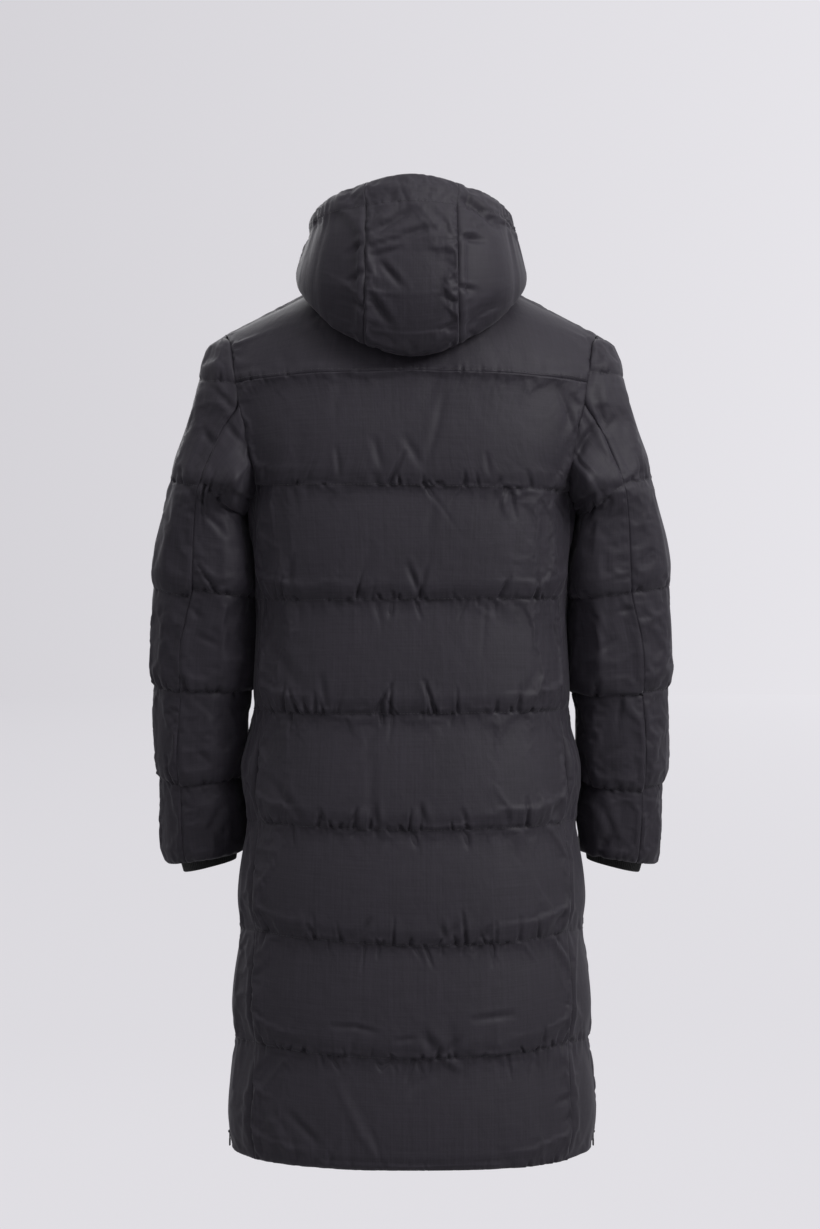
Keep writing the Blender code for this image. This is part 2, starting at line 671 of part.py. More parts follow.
def zip_strips(collection):
    body = panels["front_left"]["points"][:, -1]
    collar = panels["collar"]["points"][:, -1]
    middle = np.concatenate([body, collar[1:]]) + (0, -0.001, 0)
    across = np.tile((1.0, 0, 0), (len(middle), 1))
    outward = np.tile((0, -1.0, 0), (len(middle), 1))
    zip_strip("front_zip", middle, across, outward, FRONT_ZIP_WIDTH, collection)
    side = panels["side_panel_left"]["points"][: VENT_ROWS + 1]
    front = panels["front_left"]["points"][: VENT_ROWS + 1]
    across = (front[:, 1] - side[:, -2]) * (1, 1, 0)
    across /= np.linalg.norm(across, axis=1, keepdims=True)
    outward = np.stack([-across[:, 1], across[:, 0], np.zeros(len(across))], axis=1)
    middle = side[:, -1] + outward * VENT_TAPE_LIFT
    for name, turn in (("left", (1, 1, 1)), ("right", (-1, 1, 1))):
        placed = [part * turn for part in (middle, across, outward)]
        zip_strip("vent_zip_" + name, *placed, VENT_ZIP_WIDTH, collection)


def zip_face(name, z):
    """The point on a zip's outer side at a height, and its outward direction."""
    line, outward = zip_lines[name]
    face = [np.interp(z, line[:, 2], line[:, axis]) for axis in (0, 1)]
    way = outward[np.argmin(abs(line[:, 2] - z))]
    return Vector((*face, z)), Vector(way[:2]).normalized()


def box(name, centre, size, cutters):
    bm = bmesh.new()
    bmesh.ops.create_cube(bm, size=1, matrix=Matrix.Translation(centre) @ Matrix.Diagonal((*size, 1)))
    return helper(bm, name, cutters)


def rod(name, centre, radius, length, cutters, sides=16):
    """A cylinder across the zip, along the local X axis."""
    bm = bmesh.new()
    place = Matrix.Translation(centre) @ Matrix.Rotation(math.pi / 2, 4, "Y")
    bmesh.ops.create_cone(
        bm, cap_ends=True, segments=sides, radius1=radius, radius2=radius, depth=length, matrix=place
    )
    return helper(bm, name, cutters)


def helper(bm, name, cutters):
    mesh = bpy.data.meshes.new(name)
    bm.to_mesh(mesh)
    bm.free()
    shape = bpy.data.objects.new(name, mesh)
    shape.hide_render = True
    shape.display_type = "WIRE"
    cutters.objects.link(shape)
    return shape


def joined(name, base, tools, place, collection):
    """The base shape with each tool added or cut in turn, put where place says."""
    part = bpy.data.objects.new(name, base.data.copy())
    part.data.materials.append(finish_material(name, "metal"))
    part.matrix_world = place
    collection.objects.link(part)
    for tool, operation in tools:
        placed = bpy.data.objects.new(name + "_" + tool.name, tool.data)
        placed.matrix_world = place
        placed.hide_render = True
        placed.display_type = "WIRE"
        tool.users_collection[0].objects.link(placed)
        modifier = part.modifiers.new(tool.name, "BOOLEAN")
        modifier.operation = operation
        modifier.object = placed
    return part


def zip_hardware(slider_name, pull_name, face, outward, collection, cutters):
    """Slider and hanging pull, face being the point on the zip behind the slider's middle.

    Locally +X is across the zip, -Y outwards and +Z up the zip.
    """
    turn = Vector((0, -1)).angle_signed(Vector(outward[:2]))
    place = Matrix.Translation(face) @ Matrix.Rotation(-turn, 4, "Z")
    back = SEAM_GAP
    deep = SLIDER["deep"]
    pin_y = -(back + deep + PIN_STAND)
    pin = Vector((0, pin_y, -PIN_LOW))
    middle = (0, -back - deep / 2, 0)
    body = box("slider_body", middle, (SLIDER["width"], deep, SLIDER["tall"]), cutters)
    reach = PIN_STAND + EAR_PAST_PIN + deep / 2
    tools = []
    for side, sign in (("a", -1), ("b", 1)):
        x = sign * (SLIDER["width"] - SLIDER["ear"]) / 2
        middle = (x, -back - deep / 2 - reach / 2, pin.z)
        ear = box("ear_" + side, middle, (SLIDER["ear"], reach, SLIDER["ear_tall"]), cutters)
        tools.append((ear, "UNION"))
    inner = SLIDER["width"] - SLIDER["ear"]
    tools.append((rod("pin", pin, PIN_RADIUS, inner, cutters, sides=10), "UNION"))
    joined(slider_name, body, tools, place, collection)
    plate_low = pin.z - PULL["length"]
    middle = (0, pin_y, (pin.z + plate_low) / 2)
    plate = box("plate", middle, (PULL["width"], PULL["deep"], PULL["length"]), cutters)
    tools = [
        (rod("eye", pin, EYE["radius"], EYE["width"], cutters), "UNION"),
        (rod("eye_hole", pin, EYE["hole"], EYE["width"] * 2, cutters, sides=12), "DIFFERENCE"),
    ]
    joined(pull_name, plate, tools, place, collection)
    return place @ pin


def main():
    for old in list(bpy.data.objects):
        bpy.data.objects.remove(old, do_unlink=True)
    coat = bpy.data.collections.new("puffer_coat")
    cutters = bpy.data.collections.new("cutters")
    for collection in (coat, cutters):
        bpy.context.scene.collection.children.link(collection)
    cloth(coat)
    storm_cuffs(coat)
    zip_strips(coat)
    vents = [("vent", side, VENT_SLIDER_Z) for side in ("_left", "_right")]
    for kind, side, z in [("front", "", FRONT_SLIDER_Z), *vents]:
        face, outward = zip_face(kind + "_zip" + side, z - SLIDER["tall"] / 2)
        face.z = z
        names = (kind + "_slider" + side, kind + "_pull" + side)
        pin = zip_hardware(*names, face, outward, coat, cutters)
        print(names[1], "hinge", [round(value, 5) for value in (*pin, *outward)])


main()
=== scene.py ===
"""A long hooded puffer coat, as it is worn, with its hood down: the finished look of each piece."""
import json
import math

import bmesh
import bpy
import numpy as np
from mathutils import Matrix, Vector


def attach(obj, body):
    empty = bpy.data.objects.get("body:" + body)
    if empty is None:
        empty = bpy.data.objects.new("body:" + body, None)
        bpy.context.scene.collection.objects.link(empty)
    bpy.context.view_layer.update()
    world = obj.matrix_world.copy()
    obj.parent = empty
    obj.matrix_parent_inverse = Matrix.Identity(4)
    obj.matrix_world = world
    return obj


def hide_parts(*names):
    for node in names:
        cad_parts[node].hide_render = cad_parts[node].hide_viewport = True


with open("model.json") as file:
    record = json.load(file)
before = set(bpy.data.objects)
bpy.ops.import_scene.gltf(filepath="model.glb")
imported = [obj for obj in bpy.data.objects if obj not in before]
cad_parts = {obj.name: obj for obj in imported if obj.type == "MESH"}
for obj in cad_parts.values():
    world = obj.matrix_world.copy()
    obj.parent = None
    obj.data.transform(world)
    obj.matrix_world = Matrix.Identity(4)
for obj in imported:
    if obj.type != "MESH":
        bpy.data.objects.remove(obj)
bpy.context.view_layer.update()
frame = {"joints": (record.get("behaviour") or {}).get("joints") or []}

scene = bpy.context.scene
scene.view_settings.view_transform = "Standard"


# ---- The studio ----
# A level camera straight behind the coat, with a soft key lamp high on its right side, a weaker
# lamp on the left and a pale floor that runs out into a pale backdrop, both with painted light:
# brighter on the key lamp's side.

camera = bpy.data.objects.new("studio_camera", bpy.data.cameras.new("studio_camera"))
camera.data.lens = 85
camera.data.sensor_width = 36
camera.location = (0.0019, 3.627, -0.424)
camera.rotation_euler = (math.radians(90), 0, math.radians(180))
scene.collection.objects.link(camera)
scene.camera = camera

# Painted light: the backdrop's seen colour, and the floor's, run from WALL_BRIGHT on the key lamp's
# side (-X) to WALL_DIM on the other.
WALL_BRIGHT = (0.820, 0.807, 0.846, 1)
WALL_DIM = (0.640, 0.627, 0.661, 1)
FLOOR_Z = -1.62
FLOOR_REACH = 40


def studio_lamp(name, place, size, watts):
    """A soft lamp that faces the middle of the coat."""
    lamp = bpy.data.lights.new(name, "AREA")
    lamp.shape = "RECTANGLE"
    lamp.size, lamp.size_y = size
    lamp.energy = watts
    holder = bpy.data.objects.new(name, lamp)
    holder.location = place
    aim = Vector((0, 0, -0.5)) - Vector(place)
    holder.rotation_euler = aim.to_track_quat("-Z", "Y").to_euler()
    scene.collection.objects.link(holder)


def built(name, shape, material=None, smooth=True):
    """An object in the scene, made from a bmesh."""
    mesh = bpy.data.meshes.new(name)
    shape.to_mesh(mesh)
    shape.free()
    if smooth:
        mesh.shade_smooth()
    if material:
        mesh.materials.append(material)
    made = bpy.data.objects.new(name, mesh)
    scene.collection.objects.link(made)
    return made


studio_lamp("key_lamp", (-1.85, 1.75, 1.2), (1.2, 1.3), 46)
studio_lamp("left_lamp", (2.4, 2.8, 0.7), (1.8, 2.2), 6)
studio_lamp("top_lamp", (-0.2, 0.9, 1.9), (1.6, 1.2), 8)
studio_lamp("front_lamp", (0.8, -3.2, 1.2), (2.4, 2.4), 50)


def wired(tree, kind, inputs, **settings):
    """A new shader node; each input takes a value, or another node's output."""
    made = tree.nodes.new("ShaderNode" + kind)
    for name, value in settings.items():
        setattr(made, name, value)
    for name, value in inputs.items():
        if isinstance(value, bpy.types.NodeSocket):
            tree.links.new(value, made.inputs[name])
        else:
            made.inputs[name].default_value = value
    return made


def painted_side_light(tree, spot, reach):
    """The backdrop's painted light: its colour is bright on one side of the picture, the key
    lamp's, and dimmer on the other.
    """
    split = wired(tree, "SeparateXYZ", {0: spot})
    share = wired(tree, "MapRange", {
        "From Min": -reach, "From Max": reach, "Value": split.outputs["X"],
    })
    tint = wired(tree, "Mix", {
        "A": WALL_BRIGHT, "B": WALL_DIM, "Factor": share.outputs["Result"],
    }, data_type="RGBA")
    return tint.outputs["Result"]


studio_air = bpy.data.worlds.new("studio_air")
scene.world = studio_air
studio_air.use_nodes = True
tree = studio_air.node_tree
tree.nodes.clear()
air_light = wired(tree, "Background", {"Color": (0.95, 0.96, 1.0, 1), "Strength": 0.14})
spot = wired(tree, "TexCoord", {}).outputs["Generated"]
# The backdrop as seen: a painted side-to-side light falloff.
air_seen = wired(tree, "Background", {"Strength": 1.0, "Color": painted_side_light(tree, spot, 0.20)})
ray = wired(tree, "LightPath", {}).outputs
seen = wired(tree, "Math", {0: ray["Is Camera Ray"], 1: ray["Is Glossy Ray"]}, operation="MAXIMUM")
seen = wired(tree, "Math", {0: seen.outputs[0], 1: ray["Is Transmission Ray"]}, operation="MAXIMUM")
air = wired(tree, "MixShader", {
    "Fac": seen.outputs[0], 1: air_light.outputs[0], 2: air_seen.outputs[0],
})
wired(tree, "OutputWorld", {"Surface": air.outputs[0]})

pale_floor = bpy.data.materials.new("pale_floor")
pale_floor.use_nodes = True
tree = pale_floor.node_tree
floor_shader = tree.nodes["Principled BSDF"]
floor_shader.inputs["Base Color"].default_value = (0.66, 0.65, 0.67, 1)
floor_shader.inputs["Roughness"].default_value = 0.9
spot = wired(tree, "TexCoord", {}).outputs["Object"]
# The floor as seen: the same painted side-to-side light falloff, over the lit floor.
floor_seen = wired(tree, "Emission", {
    "Strength": 1.065, "Color": painted_side_light(tree, spot, FLOOR_REACH * 0.20),
})
ray = wired(tree, "LightPath", {}).outputs
share = wired(tree, "Math", {0: ray["Is Camera Ray"], 1: 0.93}, operation="MULTIPLY")
floor_mix = wired(tree, "MixShader", {
    "Fac": share.outputs[0], 1: floor_shader.outputs[0], 2: floor_seen.outputs[0],
})
tree.links.new(floor_mix.outputs[0], tree.nodes["Material Output"].inputs["Surface"])
floor_shape = bmesh.new()
bmesh.ops.create_circle(floor_shape, cap_ends=True, radius=FLOOR_REACH, segments=96)
bmesh.ops.translate(floor_shape, verts=floor_shape.verts, vec=(0, 0, FLOOR_Z))
built("studio_floor", floor_shape, pale_floor, smooth=False)


# ---- The back panel ----
# One long piece of fine woven nylon over padding, from the hem to the yoke seam. It is quilted
# across into seven channels, so each one swells, hangs over the line below it and is pinched
# into short gathers where the stitching takes up more cloth than padding.

HEM_Z, UNDERARM_Z, YOKE_Z = -1.090, -0.267, -0.130
CHANNELS, CHANNEL_ROWS = 6, 4
LINE_DEEP = 0.0032  # how thick the padded wall is in a quilting line
SEAM_DEEP = 0.0070  # and along an upright seam, in mid-channel
BODY_DEEP, ARMHOLE_DEEP = 0.0138, 0.0115
YOKE_SEAM_DEEP = 0.0055
BACK_ACROSS = 58  # segments across the back
CUTS = 3  # how often each segment is cut again


def table(columns, *rows):
    """Named columns, in rising order of the first one."""
    return dict(zip(columns.split(), np.array(sorted(rows), float).T))


def along(rows, column, at):
    """A column of a table, on a smooth curve through its rows, at a value of the first column."""
    keys = next(iter(rows.values()))
    values = rows[column]
    slopes = np.gradient(values, keys)
    i = int(np.clip(np.searchsorted(keys, at) - 1, 0, len(keys) - 2))
    step = keys[i + 1] - keys[i]
    t = (at - keys[i]) / step
    ease = t * t * (3 - 2 * t)
    return (
        values[i] * (1 - ease)
        + values[i + 1] * ease
        + step * t * (1 - t) * ((1 - t) * slopes[i] - t * slopes[i + 1])
    )


BODY = table(
    "z half_width back_depth front_depth square seam_depth vent_depth",
    (-1.090, 0.2210, 0.150, 0.142, 2.4, 0.094, 0.035),
    (-0.954, 0.2165, 0.148, 0.140, 2.4, 0.088, 0.035),
    (-0.818, 0.2100, 0.145, 0.138, 2.45, 0.081, 0.035),
    (-0.681, 0.2015, 0.140, 0.135, 2.5, 0.074, 0.036),
    (-0.542, 0.1915, 0.132, 0.130, 2.6, 0.066, 0.037),
    (-0.405, 0.1860, 0.131, 0.127, 2.9, 0.062, 0.038),
    (-0.267, 0.1960, 0.137, 0.124, 3.3, 0.062, 0.040),
    (-0.199, 0.2030, 0.137, 0.119, 3.2, 0.062, 0.040),
    (-0.130, 0.2160, 0.130, 0.109, 3.0, 0.062, 0.040),
)
ARMHOLE = table(
    "z back_x back_y front_x front_y",
    (-0.23275, 0.1945, 0.083, 0.1945, -0.066),
    (-0.1985, 0.2012, 0.090, 0.2000, -0.075),
    (-0.16425, 0.2095, 0.088, 0.2075, -0.073),
    (-0.130, 0.2155, 0.078, 0.2150, -0.064),
    (-0.110, 0.2190, 0.064, 0.2190, -0.053),
    (-0.092, 0.2230, 0.044, 0.2230, -0.037),
    (-0.080, 0.2272, 0.021, 0.2272, -0.018),
)


def ring(angle, half_x, half_y, square):
    """A point of a squared oval, at an angle from +Y towards +X."""
    sine, cosine = math.sin(angle), math.cos(angle)
    radius = (abs(sine) ** square + abs(cosine) ** square) ** (-1 / square)
    return Vector((half_x * radius * sine, half_y * radius * cosine))


def section(z, side):
    """The body's half width, its depth and its squareness at a height."""
    depth = along(BODY, side + "_depth", z)
    return along(BODY, "half_width", z), depth, along(BODY, "square", z)


def seam_point(z, side):
    """Where the side panel meets the back or the front, or the armhole's edge above it."""
    if z > UNDERARM_Z + 1e-6:
        row = int(np.argmin(abs(ARMHOLE["z"] - z)))
        return Vector((ARMHOLE[side + "_x"][row], abs(ARMHOLE[side + "_y"][row])))
    half_width, depth, square = section(z, side)
    y = along(BODY, "seam_depth" if side == "back" else "vent_depth", z)
    return Vector((half_width * (1 - (y / depth) ** square) ** (1 / square), y))


def body_point(z, side, t):
    """t runs from 0 at the centre to 1 at the seam or armhole, on the wearer's left."""
    half_width, depth, square = section(z, side)
    edge = seam_point(z, side)
    edge_angle = math.atan2(edge.x / half_width, edge.y / depth)
    stretch = edge.length / ring(edge_angle, half_width, depth, square).length
    flat = ring(edge_angle * abs(t), half_width, depth, square)
    flat *= 1 + (stretch - 1) * abs(t) ** 3
    y = flat.y if side == "back" else -flat.y
    return Vector((math.copysign(flat.x, t), y, z))


def side_point(z, t):
    """t runs from 0 at the side-back seam to 1 at the side seam."""
    angles = []
    for side in ("back", "front"):
        half_width, depth, square = section(z, side)
        edge = seam_point(z, side)
        angles.append(math.atan2(edge.x / half_width, edge.y / depth))
    angle = angles[0] + (math.pi - angles[1] - angles[0]) * t
    half_width, depth, square = section(z, "back" if angle < math.pi / 2 else "front")
    flat = ring(angle, half_width, depth, square)
    return Vector((flat.x, flat.y, z))


def form(rows, columns, place):
    """A grid with a point for each row and column."""
    return np.array([[place(row, column) for column in columns] for row in rows])


def smooth_between(points, at):
    """Points on smooth curves through the first axis of a grid, at fractional places in it."""
    slopes = np.gradient(points, axis=0)
    i = np.clip(at.astype(int), 0, len(points) - 2)
    t = (at - i)[..., None]
    column = np.arange(points.shape[1])[None, :]
    ease = t * t * (3 - 2 * t)
    curve = points[i, column] * (1 - ease) + points[i + 1, column] * ease
    return curve + t * (1 - t) * ((1 - t) * slopes[i, column] - t * slopes[i + 1, column])


def finer(points, rows, columns):
    """A denser grid on a coarse one; rows holds each fine point's place down its own column."""
    across = np.broadcast_to(columns[:, None], (len(columns), len(points)))
    dense = smooth_between(points.swapaxes(0, 1), across).swapaxes(0, 1)
    return smooth_between(dense, rows)


def draped(points):
    """A bmesh of one surface on a grid of points."""
    surface = bmesh.new()
    rows, columns = points.shape[:2]
    bmesh.ops.create_grid(surface, x_segments=columns - 1, y_segments=rows - 1, size=1)
    for vert, point in zip(surface.verts, points.reshape(-1, 3)):
        vert.co = point
    return surface


def outward_of(points):
    """The way a surface faces at each point of its grid."""
    ways = np.cross(np.gradient(points, axis=0), np.gradient(points, axis=1))
    return ways / np.maximum(np.linalg.norm(ways, axis=2, keepdims=True), 1e-9)


def spread(points, axis):
    """How far along a grid each row or column lies, in metres, on its middle line."""
    middle = points.shape[1 - axis] // 2
    line = points[:, middle] if axis == 0 else points[middle]
    steps = np.linalg.norm(np.diff(line, axis=0), axis=1)
    return np.concatenate([[0], np.cumsum(steps)])


def hump(at, middle, reach):
    """1 at a place, fading out smoothly round it."""
    return np.exp(-(((at - middle) / reach) ** 2))


def lumps(chance, length, size, low=0.0, high=1.0):
    """Smooth uneven values along a seam, so many metres long, in humps of about one size."""
    knots = chance.uniform(low, high, max(4, int(length / size) + 3))
    return lambda at: np.interp(at / size, np.arange(len(knots)), knots)


UPWARD = 0.62  # the share of gathers that run up from their seam
RISING, FALLING = 1, 0.75  # how strong they are above it and below it


def gathers(u, v, seams, chance, deep, many=120, long=0.015, widths=(0.0014, 0.0032)):
    """Short uneven pinches that run out from each seam, in clusters, most of them above it.
    many is how many there would be in a metre, if none fell between the clusters."""
    relief = np.zeros((len(v), len(u)))
    for seam_v in seams:
        cluster = lumps(chance, u[-1], 0.045)
        for _ in range(int(many * u[-1])):
            at, lift, luck = chance.uniform(0, u[-1]), chance.uniform(), chance.uniform()
            way = 1 if chance.uniform() < UPWARD else -1
            slant, wide = chance.normal(0, 0.3), chance.uniform(*widths)
            reach = long * (0.5 + 2.4 * lift**3)
            strength = deep * (0.35 + 0.9 * luck) * (RISING if way > 0 else FALLING)
            if chance.uniform() > 0.15 + 1.1 * cluster(at):
                continue
            away = (v - seam_v) * way
            rows = np.flatnonzero((away > -0.001) & (away < reach))
            if not len(rows):
                continue
            fade = (1 - np.maximum(away[rows], 0) / reach) ** 0.65
            across = (u[None] - at - slant * away[rows][:, None]) / wide
            pinch = 0.4 * hump(across, 0, 2.6) - 1.2 * hump(across, 0, 1)
            relief[rows] += strength * fade[:, None] * pinch
    return relief


SWELL_STEPS = 20
WEIGHT_LEVELS = 20
CLOTH_SETTINGS = dict(
    quality=4, mass=0.15, bending_stiffness=0.05, tension_stiffness=25, compression_stiffness=25,
    vertex_group_mass="stitched", vertex_group_shrink="snug", shrink_min=-0.14, shrink_max=0.0,
    use_pressure=True, uniform_pressure_force=4.0,
)


def swollen(points, held, roomy, most):
    """The padding swells a grid of cloth out from its stitching. roomy is how much spare cloth
    each point has, so that it buckles into folds; no point moves further than most."""
    cloth = built("swelling", draped(points))
    for name, weights in (("stitched", held), ("snug", 1 - roomy)):
        group = cloth.vertex_groups.new(name=name)
        for level in range(1, WEIGHT_LEVELS + 1):
            found = np.flatnonzero(np.rint(weights.reshape(-1) * WEIGHT_LEVELS) == level)
            if len(found):
                group.add(found.tolist(), level / WEIGHT_LEVELS, "REPLACE")
    padding = cloth.modifiers.new("padding", "CLOTH")
    for name, value in CLOTH_SETTINGS.items():
        setattr(padding.settings, name, value)
    padding.settings.effector_weights.gravity = 0
    for step in range(1, SWELL_STEPS + 1):
        scene.frame_set(step)
    shown = cloth.evaluated_get(bpy.context.evaluated_depsgraph_get())
    settled = np.empty(points.size)
    shown.data.vertices.foreach_get("co", settled)
    bpy.data.meshes.remove(cloth.data)
    scene.frame_set(1)
    moved = settled.reshape(points.shape) - points
    far = np.linalg.norm(moved, axis=2, keepdims=True)
    return points + moved * most / np.maximum(far, 1e-9) * np.tanh(far / most)


def worn(piece, replaced=None, body="coat"):
    """The finished piece rides on its body and stands for its node, if any."""
    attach(piece, body)
    if replaced:
        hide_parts(replaced)


def sewn_panel(name, outer, inner):
    """A padded wall: a dense outer side and a plain inner one, closed round its edges."""
    rows, columns = inner.shape[:2]
    wall = bmesh.new()
    place = wall.verts.layers.float_vector.new("place")
    bmesh.ops.create_grid(wall, x_segments=columns - 1, y_segments=rows - 1, size=1)
    for vert in wall.verts:
        vert[place] = (
            (vert.co.y + 1) / 2 * (rows - 1),
            (vert.co.x + 1) / 2 * (columns - 1),
            0,
        )
    made = bmesh.ops.extrude_face_region(wall, geom=wall.faces[:])["geom"]
    front = {vert for vert in made if isinstance(vert, bmesh.types.BMVert)}
    for vert in front:
        vert[place].z = 1
    edges = [edge for edge in wall.edges if edge.verts[0] in front and edge.verts[1] in front]
    bmesh.ops.subdivide_edges(wall, edges=edges, cuts=CUTS, use_grid_fill=True)
    spots = np.array([vert[place] for vert in wall.verts])
    fine = CUTS + 1
    spots[:, :2] = np.rint(spots[:, :2] * fine)
    i, j = spots[:, 0].astype(int), spots[:, 1].astype(int)
    lower = inner[np.minimum(i // fine, rows - 1), np.minimum(j // fine, columns - 1)]
    seats = np.where(spots[:, 2:] > 0.5, outer[i, j], lower)
    for vert, seat in zip(wall.verts, seats):
        vert.co = seat
    bmesh.ops.recalc_face_normals(wall, faces=wall.faces[:])
    panel = built(name, wall, shell_cloth)
    cut = np.stack([spread(outer, 1)[j], spread(outer, 0)[i]], axis=1)
    corner = np.empty(len(panel.data.loops), int)
    panel.data.loops.foreach_get("vertex_index", corner)
    panel.data.uv_layers.new(name="cut").data.foreach_set("uv", cut[corner].reshape(-1))
    return panel


def finish(name, **inputs):
    """A new material with its shader's inputs set, an underscore standing for a space."""
    made = bpy.data.materials.new(name)
    made.use_nodes = True
    shader = made.node_tree.nodes["Principled BSDF"]
    for key, value in inputs.items():
        shader.inputs[key.replace("_", " ")].default_value = value
    return made, made.node_tree, shader


def shades(tree, shader, share, dark, light, places=(0, 1)):
    """The base colour runs from dark to light with a share, between two places in it."""
    ramp = wired(tree, "ValToRGB", {"Fac": share})
    for stop, colour, place in zip(ramp.color_ramp.elements, (dark, light), places):
        stop.color = (*colour, 1)
        stop.position = place
    tree.links.new(ramp.outputs["Color"], shader.inputs["Base Color"])


def raised(tree, shader, height, strength, distance, below=None):
    """A bump in the shader's surface, on top of another one where below is given."""
    inputs = {"Strength": strength, "Distance": distance, "Height": height}
    if below is not None:
        inputs["Normal"] = below
    bump = wired(tree, "Bump", inputs)
    tree.links.new(bump.outputs["Normal"], shader.inputs["Normal"])
    return bump.outputs["Normal"]


def rough(tree, shader, share, smooth, dull):
    """The roughness runs from smooth to dull with a share."""
    spread_out = wired(tree, "MapRange", {"To Min": smooth, "To Max": dull, "Value": share})
    tree.links.new(spread_out.outputs["Result"], shader.inputs["Roughness"])


def woven_nylon():
    """Matte black nylon: fine threads, faint streaks down the cloth and small soft crumples."""
    cloth, tree, shader = finish(
        "black_woven_nylon", Specular_IOR_Level=0.32, Sheen_Weight=0.12, Sheen_Roughness=0.45,
        Sheen_Tint=(0.86, 0.84, 0.92, 1),
    )
    cut = wired(tree, "UVMap", {}, uv_map="cut").outputs[0]

    def noise(stretch, detail, roughness=0.55):
        turn = wired(tree, "Mapping", {"Vector": cut, "Scale": stretch})
        return wired(tree, "TexNoise", {
            "Vector": turn.outputs[0], "Scale": 1.0, "Detail": detail, "Roughness": roughness,
        }).outputs["Fac"]

    def scaled(value, share, rest=0.0):
        made = wired(tree, "Math", {0: value, 1: share, 2: rest}, operation="MULTIPLY_ADD")
        return made.outputs[0]

    streaks, slubs, patches = noise((420, 11, 1), 4), noise((16, 520, 1), 3), noise((18, 11, 1), 2)
    mixed = scaled(streaks, 0.5, scaled(slubs, 0.35, scaled(patches, 0.15)))
    shades(tree, shader, mixed, (0.0220, 0.0192, 0.0262), (0.0355, 0.0308, 0.0415), (0.38, 0.64))
    rough(tree, shader, streaks, 0.52, 0.70)
    threads = {0: noise((2100, 240, 1), 2), 1: noise((240, 2100, 1), 2)}
    weave = wired(tree, "Math", threads, operation="ADD").outputs[0]
    crumple = raised(tree, shader, noise((70, 46, 1), 4, 0.5), 0.55, 0.0016)
    raised(tree, shader, weave, 0.08, 0.00025, below=crumple)
    return cloth


shell_cloth = woven_nylon()


def laid_out(points, lines, steps, across, droop):
    """Fine places down each column of a form and across it, and each row's place in the channels.
    droop shifts the quilting lines, as shares of the form's rows."""
    fine = CUTS + 1
    columns = np.linspace(0, points.shape[1] - 1, across * fine + 1)
    rows, channel = [], []
    for k, count in enumerate(steps):
        part = np.linspace(0, 1, count * fine + 1)[: None if k == len(steps) - 1 else -1]
        rows.append(lines[k] + (lines[k + 1] - lines[k]) * part)
        channel.append(k + part)
    rows, channel = np.concatenate(rows), np.concatenate(channel)
    places = np.repeat(rows[:, None], len(columns), axis=1)
    if droop is not None:
        share = np.linspace(0, 1, len(columns))
        shifts = np.array([np.interp(share, np.linspace(0, 1, len(line)), line) for line in droop])
        low = np.clip(channel.astype(int), 0, len(steps) - 1)
        part = (channel - low)[:, None]
        places += shifts[low] * (1 - part) + shifts[low + 1] * part
        places = np.clip(places, 0, len(points) - 1)
    return places, columns, channel


PLUMP, TAPERED = 0.95, 1.7  # how steeply a channel's padding ends below its upper line
HUNG_AT, HUNG_REACH = 0.06, 0.055  # where the cloth hangs over its lower line, up a channel


def padding_at(low, part, u, rise, deep, hang, sides, seam_thick, soft_top):
    """How thick the padded wall is. hang is how high in a channel it is fullest, in the middle
    of the panel and at its sides, sides its thickness there, and rise its way in from them."""
    share = np.linspace(0, 1, len(u))
    hangs = hang[0] + (hang[1] - hang[0]) * np.abs(2 * share - 1)[None] ** 5
    steep = np.interp(hangs, (0.14, 0.30), (0.75, 0.85))
    low_part = np.sin(np.pi / 2 * np.clip(part[:, None] / hangs, 0, 1)) ** steep
    upper = np.cos(np.pi / 2 * np.clip((part[:, None] - hangs) / (1 - hangs), 0, 1))
    full = low_part * upper ** np.where(np.isin(low, soft_top), TAPERED, PLUMP)[:, None]
    beside = np.where(u < u[-1] / 2, 0, 1)
    sides = np.array([np.broadcast_to(side, len(deep)) for side in sides])
    seam_deep = np.full(len(deep) + 1, LINE_DEEP)
    for k, thickness in seam_thick:
        seam_deep[k] = thickness
    resting = seam_deep[low] + (seam_deep[low + 1] - seam_deep[low]) * part
    resting = np.repeat(resting[:, None], len(u), axis=1)
    at_side = LINE_DEEP + (sides[beside][:, low].T - LINE_DEEP) * full
    thick = resting + (np.asarray(deep)[low][:, None] - resting) * full
    return at_side + (thick - at_side) * rise


def pressed_out(outer, u, v, seams, chance, roomy, most):
    """The outer cloth swells between its seams, more where the padding lies in lumps."""
    held = np.zeros(outer[::2, ::2].shape[:2])
    held[[s // 2 for s in seams]] = 1
    held[:, [0, -1]] = 1
    near = np.min(abs(v[::2, None] - v[seams][None]), axis=1)[:, None]
    bunch = lumps(chance, u[-1], 0.035)(u[::2])[None] * lumps(chance, v[-1], 0.05)(v[::2])[:, None]
    loose = roomy * (1 - 0.7 * hump(near, 0, 0.02)) * (0.4 + 2.2 * bunch)
    swell = swollen(outer[::2, ::2], held, np.clip(loose, 0, 1), most)
    rows = np.repeat(np.arange(len(v))[:, None] / 2, len(u), axis=1)
    return finer(swell, rows, np.arange(len(u)) / 2)


def folds(u, v, seams, chance, gather, fold, pucker):
    """Gathers and longer folds along the quilting lines, and puckers in from the side seams."""
    relief = gathers(u, v, v[seams[1:-1]], chance, gather)
    relief += gathers(u, v, v[[seams[0], seams[-1]]], chance, gather * 0.4)
    relief += gathers(u, v, v[seams], chance, fold, many=34, long=0.030, widths=(0.003, 0.0075))
    relief += gathers(u, v, v[seams], chance, fold * 1.3, many=9, long=0.05, widths=(0.006, 0.012))
    for column, amount in zip((0, -1), pucker):
        if amount:
            relief += gathers(v, u, [u[column]], chance, amount, many=75, long=0.009).T
    return relief


